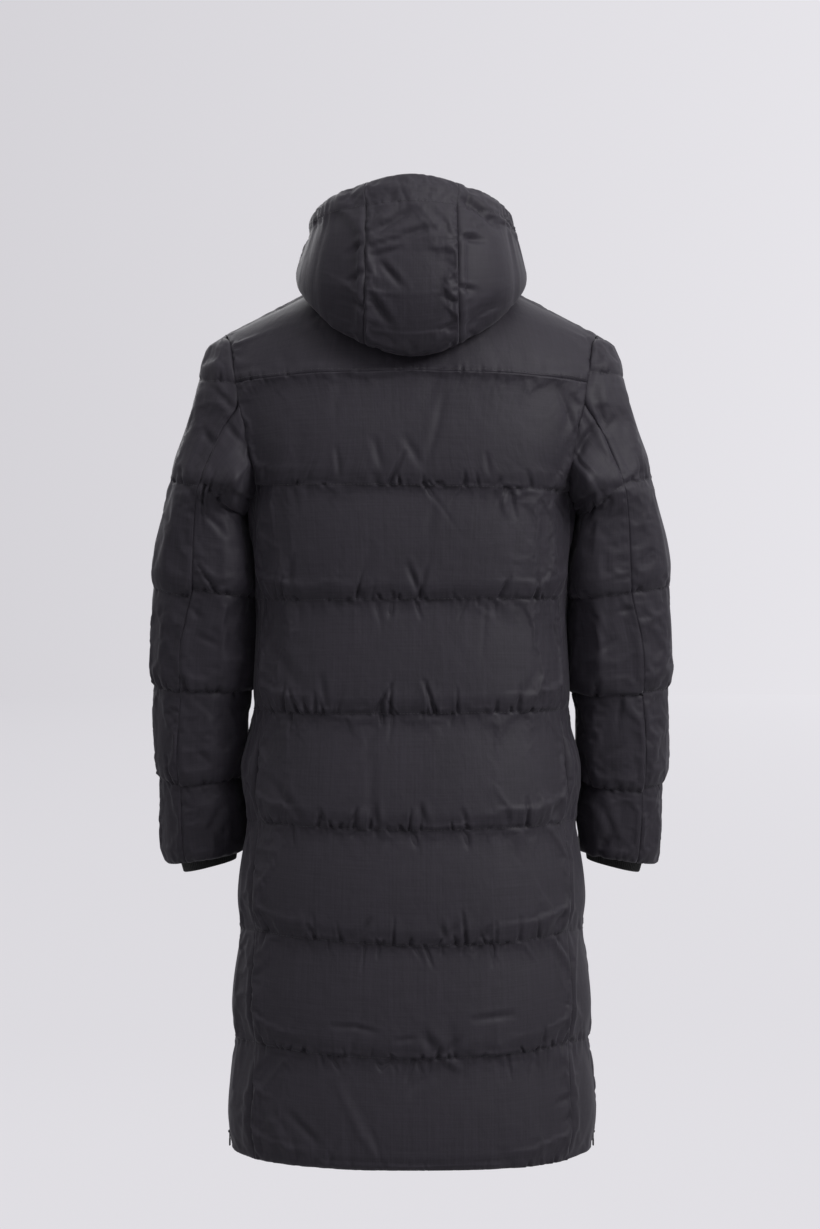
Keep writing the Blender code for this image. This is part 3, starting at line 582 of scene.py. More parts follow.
def quilted(node, points, lines, steps, across, deep, seed, droop=None, hang=(0.14, 0.14),
            edges=(0.010, 0.010), sides=(SEAM_DEEP, SEAM_DEEP), neighbours=(None, None),
            gather=0.0050, fold=0.0016, roomy=0.12, most=0.005, drop=0.0040, fill=0.55,
            creases=(), press=None, rolled=False, soft_top=(), seam_thick=(), pucker=(0, 0),
            meet=None):
    """One padded panel on its form. points is the form's coarse grid, lines are the places of
    its quilting lines or cross seams in it, steps the segments between them and across it."""
    chance = np.random.default_rng(seed)
    places, columns, channel = laid_out(points, lines, steps, across, droop)
    base = finer(points, places, columns)
    ways = outward_of(points)
    for column, beside in zip((0, -1), neighbours):
        if beside is not None:
            ways[: len(beside), column] += beside[: len(ways)]
    way = finer(ways, places, columns)
    way /= np.linalg.norm(way, axis=2, keepdims=True)
    v, u = spread(base, 0), spread(base, 1)
    low = np.clip(channel.astype(int), 0, len(steps) - 1)
    part = channel - low
    rise = np.ones(len(u))
    for edge, reach in zip((u, u[-1] - u), edges):
        rise *= np.sin(np.pi / 2 * np.minimum(1, edge / reach)) ** 0.65
    thick = padding_at(low, part, u, rise, deep, hang, sides, seam_thick, soft_top)
    if press is not None:
        thick = press(thick, base, rise[None])
    seams = [int(np.argmin(abs(channel - k))) for k in range(len(steps) + 1)]
    swell = pressed_out(base + way * thick[..., None], u, v, seams, chance, roomy, most)
    relief = folds(u, v, seams, chance, gather, fold, pucker)
    swell += way * relief[..., None] * rise[None, :, None]
    if drop:  # the cloth hangs over each line below it, but not over a rolled hem
        over = hump(part, HUNG_AT, HUNG_REACH) * (channel > 1 if rolled else 1)
        hung = over[:, None] * lumps(chance, u[-1], 0.022, 0.5, 1.3)(u) * rise
        swell[..., 2] -= drop * hung * np.clip(1 + relief / 0.0022, 0, 1)
    for one in creases:
        swell -= way * (crease(swell, np.array(one) / 1000) * rise)[..., None]
    if meet is not None:
        swell += (meet - swell[0])[None] * hump(v, 0, 0.006)[:, None, None]
    fine = CUTS + 1
    return dict(name=node, outer=swell, inner=base[::fine, ::fine], fill=fill, seams=seams,
                way=way, v=v)


def crease(points, drawn):
    """A soft trough (or a ridge, where depth is negative) along a path seen from behind, with a
    low fold of the taken-up cloth along one side of it."""
    flat = points[..., [0, 2]]
    best = np.full(flat.shape[:2], 1e9)
    lip = np.zeros(flat.shape[:2])
    strength = np.zeros(flat.shape[:2])
    path, (width, depth) = drawn[:-2].reshape(-1, 2), drawn[-2:]
    lengths = np.concatenate([[0], np.cumsum(np.linalg.norm(np.diff(path, axis=0), axis=1))])
    for k in range(len(path) - 1):
        run = path[k + 1] - path[k]
        t = np.clip(((flat - path[k]) @ run) / (run @ run), 0, 1)
        apart = flat - path[k] - t[..., None] * run
        away = np.linalg.norm(apart, axis=2)
        one_side = (apart[..., 0] * run[1] - apart[..., 1] * run[0]) / np.linalg.norm(run)
        along_path = (lengths[k] + t * (lengths[k + 1] - lengths[k])) / lengths[-1]
        nearer = away < best
        best = np.where(nearer, away, best)
        lip = np.where(nearer, one_side, lip)
        strength = np.where(nearer, np.sin(np.pi * (0.08 + 0.84 * along_path)) ** 0.7, strength)
    fold = 0.26 * hump(np.abs(lip), 1.9 * width, width) * (lip > 0)
    return depth * strength * (hump(best, 0, width) - fold * (best < 3.5 * width))


def black_thread():
    """Polyester sewing thread, twisted and a little glossier than the cloth."""
    thread, tree, shader = finish("black_thread", Roughness=0.45, Sheen_Weight=0.1)
    spot = wired(tree, "TexCoord", {}).outputs["Object"]
    twist = wired(tree, "TexNoise", {"Vector": spot, "Scale": 1500}).outputs["Fac"]
    shades(tree, shader, twist, (0.016, 0.015, 0.018), (0.040, 0.037, 0.045))
    raised(tree, shader, twist, 0.3, 0.0001)
    return thread


sewing_thread = black_thread()
STITCH, STITCH_PITCH, THREAD_RADIUS = 0.0030, 0.0042, 0.00024
STITCH_PROUD, FIRST_STITCH = 0.0001, 0.002


def stitch_rows(panel, rows):
    """Lockstitches lying end to end in the cloth, along some of a panel's fine rows."""
    threads = bmesh.new()
    for row in rows:
        path = panel["outer"][row] + panel["way"][row] * STITCH_PROUD
        far = spread(path[:, None], 0)
        for start in np.arange(FIRST_STITCH, far[-1] - STITCH_PITCH, STITCH_PITCH):
            ends = [Vector([np.interp(at, far, path[:, axis]) for axis in range(3)])
                    for at in (start, start + STITCH)]
            run = ends[1] - ends[0]
            made = bmesh.ops.create_cone(
                threads, cap_ends=True, segments=5, radius1=THREAD_RADIUS,
                radius2=THREAD_RADIUS, depth=run.length)["verts"]
            lie = run.to_track_quat("Z", "Y").to_matrix().to_4x4()
            bmesh.ops.transform(threads, verts=made,
                                matrix=Matrix.Translation((ends[0] + ends[1]) / 2) @ lie)
    bmesh.ops.recalc_face_normals(threads, faces=threads.faces)
    worn(built(panel["name"] + "_stitches", threads, sewing_thread))


def finish_panel(panel, topstitch=()):
    """topstitch holds extra stitch rows, in metres up the panel."""
    piece = sewn_panel(panel["name"] + "_cloth", panel["outer"], panel["inner"])
    worn(piece, panel["name"])
    rows = panel["seams"][1:-1] + [int(np.argmin(abs(panel["v"] - at))) for at in topstitch]
    if rows:
        stitch_rows(panel, rows)


body_z = [HEM_Z + (UNDERARM_Z - HEM_Z) * k / (CHANNELS * CHANNEL_ROWS)
          for k in range(CHANNELS * CHANNEL_ROWS)]
body_z += [UNDERARM_Z] + list(ARMHOLE["z"][:CHANNEL_ROWS])
body_lines = [CHANNEL_ROWS * k for k in range(CHANNELS + 2)]
body_steps = [14] * (CHANNELS + 1)
BODY_ROW = (UNDERARM_Z - HEM_Z) / (CHANNELS * CHANNEL_ROWS)
back_droop = np.array([
    (2, -1, -2, 1, 3),
    (8, -1, -4, 0, 8),
    (6, -3, -5, 1, 7),
    (1, -2, -4, -1, 2),
    (1, 0, -1, -2, 0),
    (0, 1, 0, -1, -1),
    (-6, -3, 0, 1, 2),
    (-12, -3, 0, -3, -12),
]) / 1000 / BODY_ROW

# Creases in millimetres: the x and z of each point of its path, its width and its depth. A
# negative depth is a ridge.
back_creases = [
    (145, -262, 133, -202, 10, 2.2), (87, -258, 90, -225, 3, 2.2), (36, -249, 45, -213, 4.5, 1.8),
    (-11, -243, 9, -210, 5, 1.8), (-15, -249, -30, -202, -39, -160, 5, 1.7),
    (-93, -255, -90, -231, 3, 2), (-190, -213, -203, -172, 5, -3), (-178, -150, -200, -207, 4, 2.2),
    (-106, -272, -114, -303, 4, -2.2), (-174, -285, -190, -309, 3, 1.8),
    (-27, -291, -18, -329, 6, 1.4), (4, -366, -9, -399, 3.5, 3.4), (146, -357, 149, -393, 4, 2.4),
    (168, -411, 180, -450, 5, 1.8), (-172, -426, -178, -468, 5, 1.8), (24, -408, 26, -426, 3, 2.4),
    (-99, -408, -100, -421, 3, 2.2), (172, -464, 140, -507, 8, 1.8), (108, -500, 106, -530, 4, 2.4),
    (37, -533, 36, -556, 2.8, 3.6), (41, -558, 57, -592, 5, 1.5), (47, -598, 51, -675, 6, 1.5),
    (172, -627, 133, -672, 6, 2.2), (111, -660, 106, -678, 3, 2.4), (44, -655, 43, -678, 3.5, 3.6),
    (-11, -655, -17, -676, 3.5, 2.8), (-61, -660, -66, -675, 3, 2.6),
    (-118, -660, -114, -678, 3, 2.6), (-180, -652, -170, -674, 4.5, 3.2),
    (-1, -686, -6, -704, 3, 2.4), (-64, -686, -68, -704, 3, 2.4), (51, -791, 64, -812, 4, 3.4),
    (-36, -798, -40, -812, 3.5, 3.8), (-57, -796, -42, -812, 5, 3.2),
    (-94, -800, -83, -815, 4, 2.8), (-185, -789, -175, -803, 4, 2.8),
    (-83, -820, -77, -832, 3, 2.4), (96, -918, 68, -918, 43, -924, 3, 2.2),
    (20, -934, -5, -931, 3, 1.6), (-74, -910, -120, -905, 4, 2), (-14, -928, -31, -948, 6, 3.6),
    (-57, -932, -44, -948, 5, 3.6), (43, -960, 36, -968, 25, -960, 3, 3.2),
    (-37, -957, -57, -968, 5, -2.6), (-20, -971, 0, -997, 6, 2.2),
    (91, -983, 60, -1048, 37, -1077, 6, -1.6), (182, -1014, 145, -1081, 5, -1.6),
    (148, -1025, 114, -1059, 5, 2.4), (-190, -977, -199, -988, 3, 2.6),
    (-179, -1016, -199, -1008, 4, 2.8), (-187, -1039, -205, -1028, 4, 2.4),
]
side_form = form(body_z[: CHANNELS * CHANNEL_ROWS + 1], np.linspace(0, 1, 4), side_point)
seam_line = side_form[:, -1].copy()
side_ways = outward_of(side_form)
back_form = form(body_z, np.linspace(-1, 1, 13), lambda z, t: body_point(z, "back", t))
back_ways = outward_of(back_form)
back_seam = [SEAM_DEEP] * CHANNELS + [YOKE_SEAM_DEEP]
back_deep = [BODY_DEEP] * CHANNELS + [ARMHOLE_DEEP]
back = quilted(
    "back_panel", back_form, body_lines, body_steps, BACK_ACROSS, back_deep, seed=3,
    droop=back_droop, rolled=True, soft_top=(CHANNELS,),
    seam_thick=[(CHANNELS + 1, YOKE_SEAM_DEEP)],
    hang=(0.14, 0.30), creases=back_creases, pucker=(0.0020, 0), sides=(back_seam, back_seam),
    neighbours=(side_ways[:, 0] * (-1, 1, 1), side_ways[:, 0]),
)
finish_panel(back)


# ---- The side panels ----
# Two long narrow pieces of the same padded cloth under the arms, each between the side-back seam
# and the side seam. Their channels meet those of the back, and the arm presses them thin above.

ARM_PRESS_Z = -0.55
ARMPIT_Z, ELBOW_Z = -0.305, -0.543
VENT_ROWS = 6  # rows of the form beside a side-vent zip
VENT_GAP = 0.0033
SIDE_DEEP = 0.0125


def drawn_back(points, edge, inner, gaps):
    """Draws one edge column of a panel back to leave room for the zip beside it."""
    way = points[:, inner] - points[:, edge]
    way /= np.linalg.norm(way, axis=1, keepdims=True)
    points[:, edge] += way * np.asarray(gaps)[:, None]
    return points


def mirrored(points):
    """The same form on the wearer's other side."""
    return points[:, ::-1] * (-1, 1, 1)


def beside_arm(thick, base, rise):
    """The arm presses the padding to an even wall above the elbow."""
    z = base[..., 2]
    high = np.clip((z - ARM_PRESS_Z + 0.02) / 0.04, 0, 1)
    pressed = LINE_DEEP + 0.0052 * rise + 0.22 * (thick - LINE_DEEP)
    pressed += 0.003 * hump(z, ARMPIT_Z, 0.03) * rise
    below_elbow = 0.0050 * hump(z, -0.605, 0.035) * rise
    at_elbow = 0.0032 * hump(z, ELBOW_Z, 0.012) * rise
    return thick * (1 - high) + pressed * high + below_elbow - at_elbow


side_rows = CHANNELS * CHANNEL_ROWS + 1
vent_gaps = [VENT_GAP if row <= VENT_ROWS else 0 for row in range(len(body_z) + 4)]
side_form = drawn_back(side_form, -1, -2, vent_gaps[:side_rows])
side_droop = np.array([
    (3, 6, 13.5),
    (8, 4, 1),
    (7, 3, 0),
    (2, 1, 1),
    (0, 1, 0),
    (-1, 0, 0),
    (0, 0, 0),
]) / 1000 / BODY_ROW
for side, placed, seed in (("left", side_form, 11), ("right", mirrored(side_form), 12)):
    left = side == "left"
    finish_panel(quilted(
        "side_panel_" + side, placed, body_lines[: CHANNELS + 1], body_steps[:CHANNELS], 12,
        [SIDE_DEEP] * CHANNELS, seed=seed, droop=side_droop if left else side_droop[:, ::-1],
        edges=(0.009, 0.009), press=beside_arm, rolled=True, most=0.003, gather=0.0024,
        hang=(0.34, 0.30), drop=0.0015, pucker=(0, 0) if left else (0, 0.0022),
        neighbours=(back_ways[:side_rows, -1], None) if left else (None, back_ways[:side_rows, 0]),
    ))


# ---- The back yoke ----
# A plain, hardly padded piece over the shoulder blades, topstitched to the back panel's upper edge
# and running up to the shoulder seams and the neck.

SHOULDER = Vector((0.2295, 0.0, -0.077))
NECK_SIDE, NECK_BACK, NECK_FRONT, NECK_Y = 0.077, 0.072, 0.078, -0.010
NECK_RISE, NECK_DIP = 0.004, 0.082
NECK_DEG_BACK = (0, 30, 60, 90)
NECK_DEG_FRONT = (90, 120, 150, 180)
NECK_COLUMNS = 3
YOKE_BULGE = (0.008, 0.026)  # at the middle, and over the shoulder blades
CHEST_BULGE = (0.004, 0.020)
BULGE_WAY = Vector((0, 0.8, 0.6))
BULGE_SPREAD = 1.8
YOKE_DEEP = 0.0062


def neck(degrees):
    """A point of the neck seam, from 0 degrees at its back round to 180 at its front."""
    angle = math.radians(degrees)
    cosine = math.cos(angle)
    y = NECK_Y + (NECK_BACK if cosine > 0 else NECK_FRONT) * cosine
    z = NECK_RISE * (1 - cosine) if cosine > 0 else NECK_RISE - NECK_DIP * (-cosine) ** 1.5
    return Vector((NECK_SIDE * math.sin(angle), y, z))


def armhole(row, side):
    """Armhole points from the yoke seam (0) up to the shoulder point (4)."""
    if row == CHANNEL_ROWS:
        return SHOULDER.copy()
    i = CHANNEL_ROWS - 1 + row
    return Vector((ARMHOLE[side + "_x"][i], ARMHOLE[side + "_y"][i], ARMHOLE["z"][i]))


def shoulder_patch(row, side, t):
    """The body above the yoke seam, up to the neck (|t| under 0.5) and the shoulder seam."""
    v = row / CHANNEL_ROWS
    far = abs(t)
    if far <= 0.5:
        column = far * 2 * NECK_COLUMNS
        degrees = np.interp(column, range(NECK_COLUMNS + 1), NECK_DEG_BACK)
        if side == "front":
            column = NECK_COLUMNS - column
            degrees = np.interp(column, range(NECK_COLUMNS + 1), NECK_DEG_FRONT)
        top = neck(degrees)
    else:
        top = neck(90).lerp(SHOULDER, far * 2 - 1)
    low = body_point(YOKE_Z, side, far)
    point = low.lerp(top, v)
    edge = armhole(0, side).lerp(SHOULDER, v)
    point += (armhole(row, side) - edge) * far**4
    middle, blade = YOKE_BULGE if side == "back" else CHEST_BULGE
    outward = BULGE_WAY * Vector((1, 1 if side == "back" else -1, 1))
    full = middle + (blade - middle) * min(1, far * BULGE_SPREAD)
    point += outward * full * math.sin(math.pi * v) * (1 - far**4)
    point.x = math.copysign(point.x, t)
    return point


across = np.linspace(-1, 1, 13)
yoke_form = np.concatenate([
    form(body_z[-3:-1], across, lambda z, t: body_point(z, "back", t)),
    form(range(CHANNEL_ROWS + 1), across, lambda row, t: shoulder_patch(row, "back", t)),
])
yoke = quilted(
    "back_yoke", yoke_form, [2, 6], [10], BACK_ACROSS, [YOKE_DEEP], seed=5, gather=0.0008,
    roomy=0.15, most=0.003, hang=(0.5, 0.5), edges=(0.012, 0.012), fill=0.3, drop=0, fold=0.0008,
    sides=(LINE_DEEP, LINE_DEEP), seam_thick=[(0, YOKE_SEAM_DEEP)], droop=(back_droop[-1], (0, 0)),
    meet=back["outer"][-1],
    creases=[(156, -105, 154, -124, 7, 1.6), (-120, -110, -150, -124, 9, 1.4)],
)
finish_panel(yoke, topstitch=(0.0045,))


# ---- The fronts ----
# Two plain fronts, hidden behind the coat, quilted level with the back and cut up to the shoulder
# and the neck, with room between them for the zip.

FRONT_EDGE = 0.0043


def front_form():
    across = np.linspace(1, 0, 2 * NECK_COLUMNS + 1)
    low = form(body_z, across, lambda z, t: body_point(z, "front", t))
    high = form(range(1, 5), across, lambda row, t: shoulder_patch(row, "front", t))
    points = drawn_back(np.concatenate([low, high]), 0, 1, vent_gaps)
    points[:, -1, 0] = FRONT_EDGE
    return points


front_lines = body_lines + [32]
front_droop = np.zeros((len(front_lines), 5))  # the hem climbs to the vent here too
front_droop[0, :2] = np.array((0.0135, 0.003)) / BODY_ROW
for side, placed, seed in (("left", front_form(), 21), ("right", mirrored(front_form()), 22)):
    finish_panel(quilted(
        "front_" + side, placed, front_lines, body_steps + [10], 26,
        [BODY_DEEP] * (CHANNELS + 1) + [YOKE_DEEP], seed=seed, rolled=True,
        soft_top=(CHANNELS,), hang=(0.16, 0.26),
        droop=front_droop if side == "left" else front_droop[:, ::-1],
    ))


# ---- The sleeves ----
# Each sleeve is a top piece and an under piece of padded cloth, quilted across separately so that
# their lines don't quite meet at the seams, and hanging with the arm.

SLEEVE_DEEP = 0.0105
SLEEVE_SEAM = 0.0086
SLEEVE_SQUARE = 2.2
SLEEVE_TILT, SLEEVE_TILT_REACH = 0.014, 0.1
UNDERARM_BLEND = 0.034
TOP_COLUMNS, UNDER_COLUMNS = 6, 9
SLEEVE_LINES = (-0.7375, -0.635, -0.518, -0.400, UNDERARM_Z, YOKE_Z)
SLEEVE = table(
    "z outer_x centre_x half_depth centre_y seam_deg",
    (-0.7375, 0.3045, 0.2630, 0.052, -0.052, 67),
    (-0.635, 0.3130, 0.2665, 0.058, -0.034, 66),
    (-0.577, 0.3165, 0.2655, 0.060, -0.025, 66),
    (-0.518, 0.3185, 0.2612, 0.061, -0.015, 67),
    (-0.460, 0.3190, 0.2620, 0.063, -0.008, 70),
    (-0.400, 0.3190, 0.2590, 0.066, 0.000, 80),
    (-0.334, 0.3120, 0.2600, 0.0705, 0.005, 84),
    (-0.301, 0.3050, 0.2612, 0.074, 0.008, 87),
    (-0.267, 0.2985, 0.2525, 0.078, 0.010, 84),
    (-0.233, 0.2885, 0.2220, 0.081, 0.009, 72),
    (-0.1985, 0.2770, 0.2040, 0.083, 0.008, 70),
    (-0.16425, 0.2685, 0.2105, 0.081, 0.0075, 80),
    (-0.130, 0.2600, 0.2165, 0.0715, 0.007, 90),
    (-0.110, 0.2525, 0.2200, 0.059, 0.0055, 90),
    (-0.092, 0.2455, 0.2240, 0.0405, 0.0035, 90),
)


def sleeve_sizes(z):
    """A sleeve's half width, half depth and centre at a height."""
    outer, centre = along(SLEEVE, "outer_x", z), along(SLEEVE, "centre_x", z)
    return outer - centre, along(SLEEVE, "half_depth", z), centre, along(SLEEVE, "centre_y", z)


def armhole_angle(z, side):
    """The armhole's edge as an angle round the sleeve, and its reach over the round section."""
    half_width, half_depth, centre_x, centre_y = sleeve_sizes(z)
    edge = seam_point(z, side)
    y = edge.y if side == "back" else -edge.y
    across, deep = (edge.x - centre_x) / half_width, (y - centre_y) / half_depth
    angle = math.atan2(deep, across)
    round_reach = ring(angle, 1, 1, SLEEVE_SQUARE).length
    return abs(angle), math.hypot(across, deep) / round_reach


def sleeve_tilt(z):
    return SLEEVE_TILT * max(0, 1 - (z - SLEEVE_LINES[0]) / SLEEVE_TILT_REACH)


def sleeve_point(z, angle):
    """Angle 0 is the sleeve's outer side, and +90 degrees its back."""
    half_width, half_depth, centre_x, centre_y = sleeve_sizes(z)
    flat = ring(angle, half_depth, half_width, SLEEVE_SQUARE)
    opening = min(1, max(0, (z - UNDERARM_Z) / UNDERARM_BLEND + 1))
    if opening > 0:
        edge, reach = armhole_angle(max(z, UNDERARM_Z), "back" if angle > 0 else "front")
        flat *= 1 + (reach - 1) * opening * min(1, abs(angle) / edge) ** 3
    z += sleeve_tilt(z) * (1 - math.cos(angle)) / 2
    return Vector((centre_x + flat.y, centre_y + flat.x, z))


def seam_angle(z, side):
    """Where the top sleeve ends and the under sleeve or the body begins."""
    if z > ARMHOLE["z"][2] - 1e-6:
        return armhole_angle(z, side)[0]
    return math.radians(along(SLEEVE, "seam_deg", z))


def sleeve_rows():
    """The heights of a sleeve form's rows, from its hem to the shoulder."""
    rows = []
    for low, high in zip(SLEEVE_LINES[:-2], SLEEVE_LINES[1:-1]):
        rows += [low + (high - low) * k / CHANNEL_ROWS for k in range(CHANNEL_ROWS)]
    return rows + [UNDERARM_Z] + list(ARMHOLE["z"][:6])


def top_form():
    """The top sleeve, whose last row is drawn in to the shoulder point."""
    def place(z, share):
        return sleeve_point(z, seam_angle(z, "back" if share > 0 else "front") * share)

    shares = np.linspace(1, -1, TOP_COLUMNS + 1)
    points = form(sleeve_rows(), shares, place)
    ends = [armhole(CHANNEL_ROWS - 1, "back" if share > 0 else "front") for share in shares]
    crown = [end.lerp(SHOULDER, 1 - abs(share)) for end, share in zip(ends, shares)]
    return np.concatenate([points, np.array(crown)[None]])


def under_form():
    """The columns end up the armhole's back, along the underarm, and up its front."""
    rows = [z for z in sleeve_rows() if z < UNDERARM_Z - 1e-3]
    climb = [UNDERARM_Z, *ARMHOLE["z"][: CHANNEL_ROWS - 1]]
    ends = climb[::-1] + [None, None] + climb
    last = UNDER_COLUMNS

    def tube_angle(z, j):
        seam = seam_angle(z, "back")
        angle = seam + (2 * math.pi - 2 * seam) * j / last
        return angle if angle <= math.pi else angle - 2 * math.pi

    def rise(step, j):
        height = ends[j]
        share = step / CHANNEL_ROWS
        start_z = rows[-1]
        if height is None:
            start = sleeve_point(start_z, tube_angle(start_z, j))
            return start.lerp(side_point(UNDERARM_Z, (j - 3) / 3), share)
        side = "back" if j < last / 2 else "front"
        sign = 1 if side == "back" else -1
        z = start_z + (height - start_z) * share
        if j in (0, last):
            z = climb[step - 1]
            return sleeve_point(z, sign * seam_angle(z, side))
        end = armhole_angle(height, side)[0]
        start = sign * tube_angle(start_z, j)
        return sleeve_point(z, sign * (start + (end - start) * share))

    low = form(rows, range(last + 1), lambda z, j: sleeve_point(z, tube_angle(z, j)))
    high = form(range(1, CHANNEL_ROWS + 1), range(last + 1), rise)
    return np.concatenate([low, high])[:, ::-1]


def sleeve_droop(rows):
    """How far each line is shifted, hem first, from millimetres to the form's rows there."""
    heights = np.diff(SLEEVE_LINES) / CHANNEL_ROWS
    return np.array([np.array(row) / 1000 / heights[min(k, 4)] for k, row in enumerate(rows)])


sleeve_creases = {
    "left": [
        (249, -266, 221, -276, 192, -286, 3, 3.6), (253, -272, 254, -291, 3, 2.4),
        (255, -299, 237, -315, 227, -328, 3.5, 2.6), (269, -375, 255, -378, 231, -386, 3, 2.2),
        (246, -392, 221, -384, 3, 2.2), (275, -412, 260, -428, 4, 2.2),
        (243, -147, 216, -176, 4.5, 3.2), (255, -199, 239, -220, 4.5, 3),
        (282, -260, 255, -291, 4.5, 3), (225, -192, 209, -214, 3.5, 2.6),
        (262, -450, 238, -462, 4, 2), (268, -590, 244, -612, 4.5, 2.2),
        (235, -660, 252, -700, 5, 2.6),
    ],
    "right": [
        (-255, -267, -230, -275, -194, -291, 3.2, 4), (-197, -303, -218, -284, 3.5, 3),
        (-199, -236, -210, -211, -228, -192, 4.8, 5.8), (-200, -222, -212, -200, 4, -2.2),
        (-257, -284, -266, -278, 3, 2.6), (-240, -311, -254, -299, 3.2, 2.6),
        (-248, -381, -272, -377, 3, 2.6), (-254, -421, -272, -416, 3.5, 2.4),
        (-227, -163, -236, -201, -248, -185, 3.5, 3), (-257, -267, -278, -254, 3.5, 2.8),
        (-250, -455, -230, -470, 4, 2.2), (-262, -585, -240, -600, 4.5, 2.2),
        (-232, -655, -252, -700, 5, 2.6),
    ],
}
top_lines = [0, 4, 8, 12, 16, 20, 23]
top_steps = [11, 12, 12, 14, 14, 8]
top_droops = {
    "left": ((0, 0, 0), (0, 11, 4), (-1, 9, 2), (-2, 14, 4),
             (0, 11, 3), (-13, -2, -4), (0, 0, 0)),
    "right": ((0, 0, 0), (-4, 3, 4), (-1, 6, 0), (4, 15, 2),
              (3, 15, 4), (2, 0, -3), (0, 0, 0)),
}
under_lines = [0, 4, 8, 12, 16, 19]
under_steps = [11, 12, 12, 12, 7]
under_droops = {
    "left": ((0, 0, 0, 0, 0), (2, 5, 11, 5, -4),
             (2, -1, 1, -1, 0), (2, 0, -4, 1, 9),
             (2, -2, 0, -2, 6), (0, 0, 0, 0, 0)),
    "right": ((0, 0, 0, 0, 0), (-2, 3, 6, -4, -10),
              (0, -3, -1, -6, -4), (2, 0, -6, -2, 4),
              (1, 0, 1, -3, 3), (0, 0, 0, 0, 0)),
}


def beside_body(thick, base, rise):
    """The under sleeve's padding fills the narrow room between the arm and the coat's side."""
    x, y, z = np.moveaxis(base, 2, 0)
    inward = np.clip((0.262 - np.abs(x)) / 0.025, 0, 1)
    high = np.clip((z + 0.52) / 0.04, 0, 1)
    armpit = 0.005 * hump(z, ARMPIT_Z, 0.03) * hump(y, 0, 0.04)
    corner = 0.006 * hump(y, 0.062, 0.022) * high * np.clip((-0.275 - z) / 0.03, 0, 1)
    elbow = 0.0025 * hump(z, -0.590, 0.025) - 0.0018 * hump(z, ELBOW_Z, 0.012)
    elbow += 0.0068 * hump(z, -0.668, 0.032)
    return thick + (0.0040 * high + armpit + corner + elbow) * inward * rise


def armpit_drawn_back(panel):
    """The arm pushes an under sleeve's cloth back at the armpit, above its last channel's line."""
    x, y, z = np.moveaxis(panel["outer"], 2, 0)
    turned = np.clip((0.242 - np.abs(x)) / 0.030, 0, 1)
    near = hump(z, -0.258, 0.030) * np.clip(y / 0.03, 0, 1)
    sewn = 1 - hump(panel["v"][-1], panel["v"], 0.010)
    y += 0.016 * turned * near * sewn[:, None]


top_seam = [SLEEVE_SEAM] * 4 + [0.0068] * 2
under_seam = top_seam[:5]
sleeve_cloth = dict(roomy=0.1, edges=(0.004, 0.004), most=0.003)
for side, seed in (("left", 31), ("right", 32)):
    order = slice(None) if side == "left" else slice(None, None, -1)
    top, under = top_form(), under_form()
    if side == "right":
        top, under = mirrored(top), mirrored(under)
    top_ways, under_ways = outward_of(top), outward_of(under)
    finish_panel(quilted(
        "sleeve_top_" + side, top, top_lines, top_steps, 16, [SLEEVE_DEEP] * 4 + [0.0098, 0.008],
        seed=seed, droop=sleeve_droop(top_droops[side])[:, order], gather=0.0044,
        sides=(top_seam, top_seam), hang=(0.22, 0.18), drop=0.003, creases=sleeve_creases[side],
        pucker=(0.0013, 0.0013), neighbours=(under_ways[:, -1], under_ways[:, 0]), **sleeve_cloth,
    ))
    lower = quilted(
        "sleeve_under_" + side, under, under_lines, under_steps, 20,
        [SLEEVE_DEEP] * 4 + [0.0078], seed=seed + 10,
        droop=sleeve_droop(under_droops[side])[:, order], gather=0.0054,
        sides=(under_seam, under_seam), hang=(0.16, 0.16), drop=0.0035,
        creases=sleeve_creases[side], press=beside_body,
        neighbours=(top_ways[:20, -1], top_ways[:20, 0]), **sleeve_cloth,
    )
    armpit_drawn_back(lower)
    finish_panel(lower)


# ---- The hood ----
# Three padded panels sewn to the neck, a long centre one and two sides, lying down over the yoke
# and folded back up, so the hood hangs in a soft bag with its brim standing behind the neck.

HOOD_SEAM_X = 0.0525
HOOD_SEAM_DEG = 45
HOOD_END_DEG = 162
HOOD_SEAT = (0.0078, 0.010)
HOOD_STEPS = 10
HOOD_SEAM, HOOD_BRIM_SEAM, HOOD_PUCKER = 0.0090, 0.0066, 0.0030
HOOD = table(
    "deg lie_r lie_z fold_r fold_z belly_r belly_z crown_r crown_z brim_r brim_z",
    (-30, 0.123, -0.024, 0.160, -0.077, 0.183, -0.034, 0.176, 0.030, 0.145, 0.090),
    (0, 0.122, -0.036, 0.158, -0.103, 0.188, -0.050, 0.184, 0.030, 0.150, 0.104),
    (30, 0.123, -0.024, 0.160, -0.077, 0.183, -0.034, 0.176, 0.030, 0.145, 0.090),
    (60, 0.116, 0.000, 0.146, -0.027, 0.1535, -0.011, 0.141, 0.034, 0.128, 0.076),
    (90, 0.104, 0.012, 0.1230, -0.003, 0.1285, 0.008, 0.121, 0.034, 0.113, 0.061),
    (120, 0.096, -0.004, 0.110, -0.006, 0.119, 0.004, 0.114, 0.021, 0.104, 0.037),
    (150, 0.096, -0.042, 0.106, -0.042, 0.111, -0.032, 0.107, -0.020, 0.099, -0.008),
    (165, 0.097, -0.058, 0.104, -0.057, 0.107, -0.049, 0.104, -0.040, 0.098, -0.032),
)


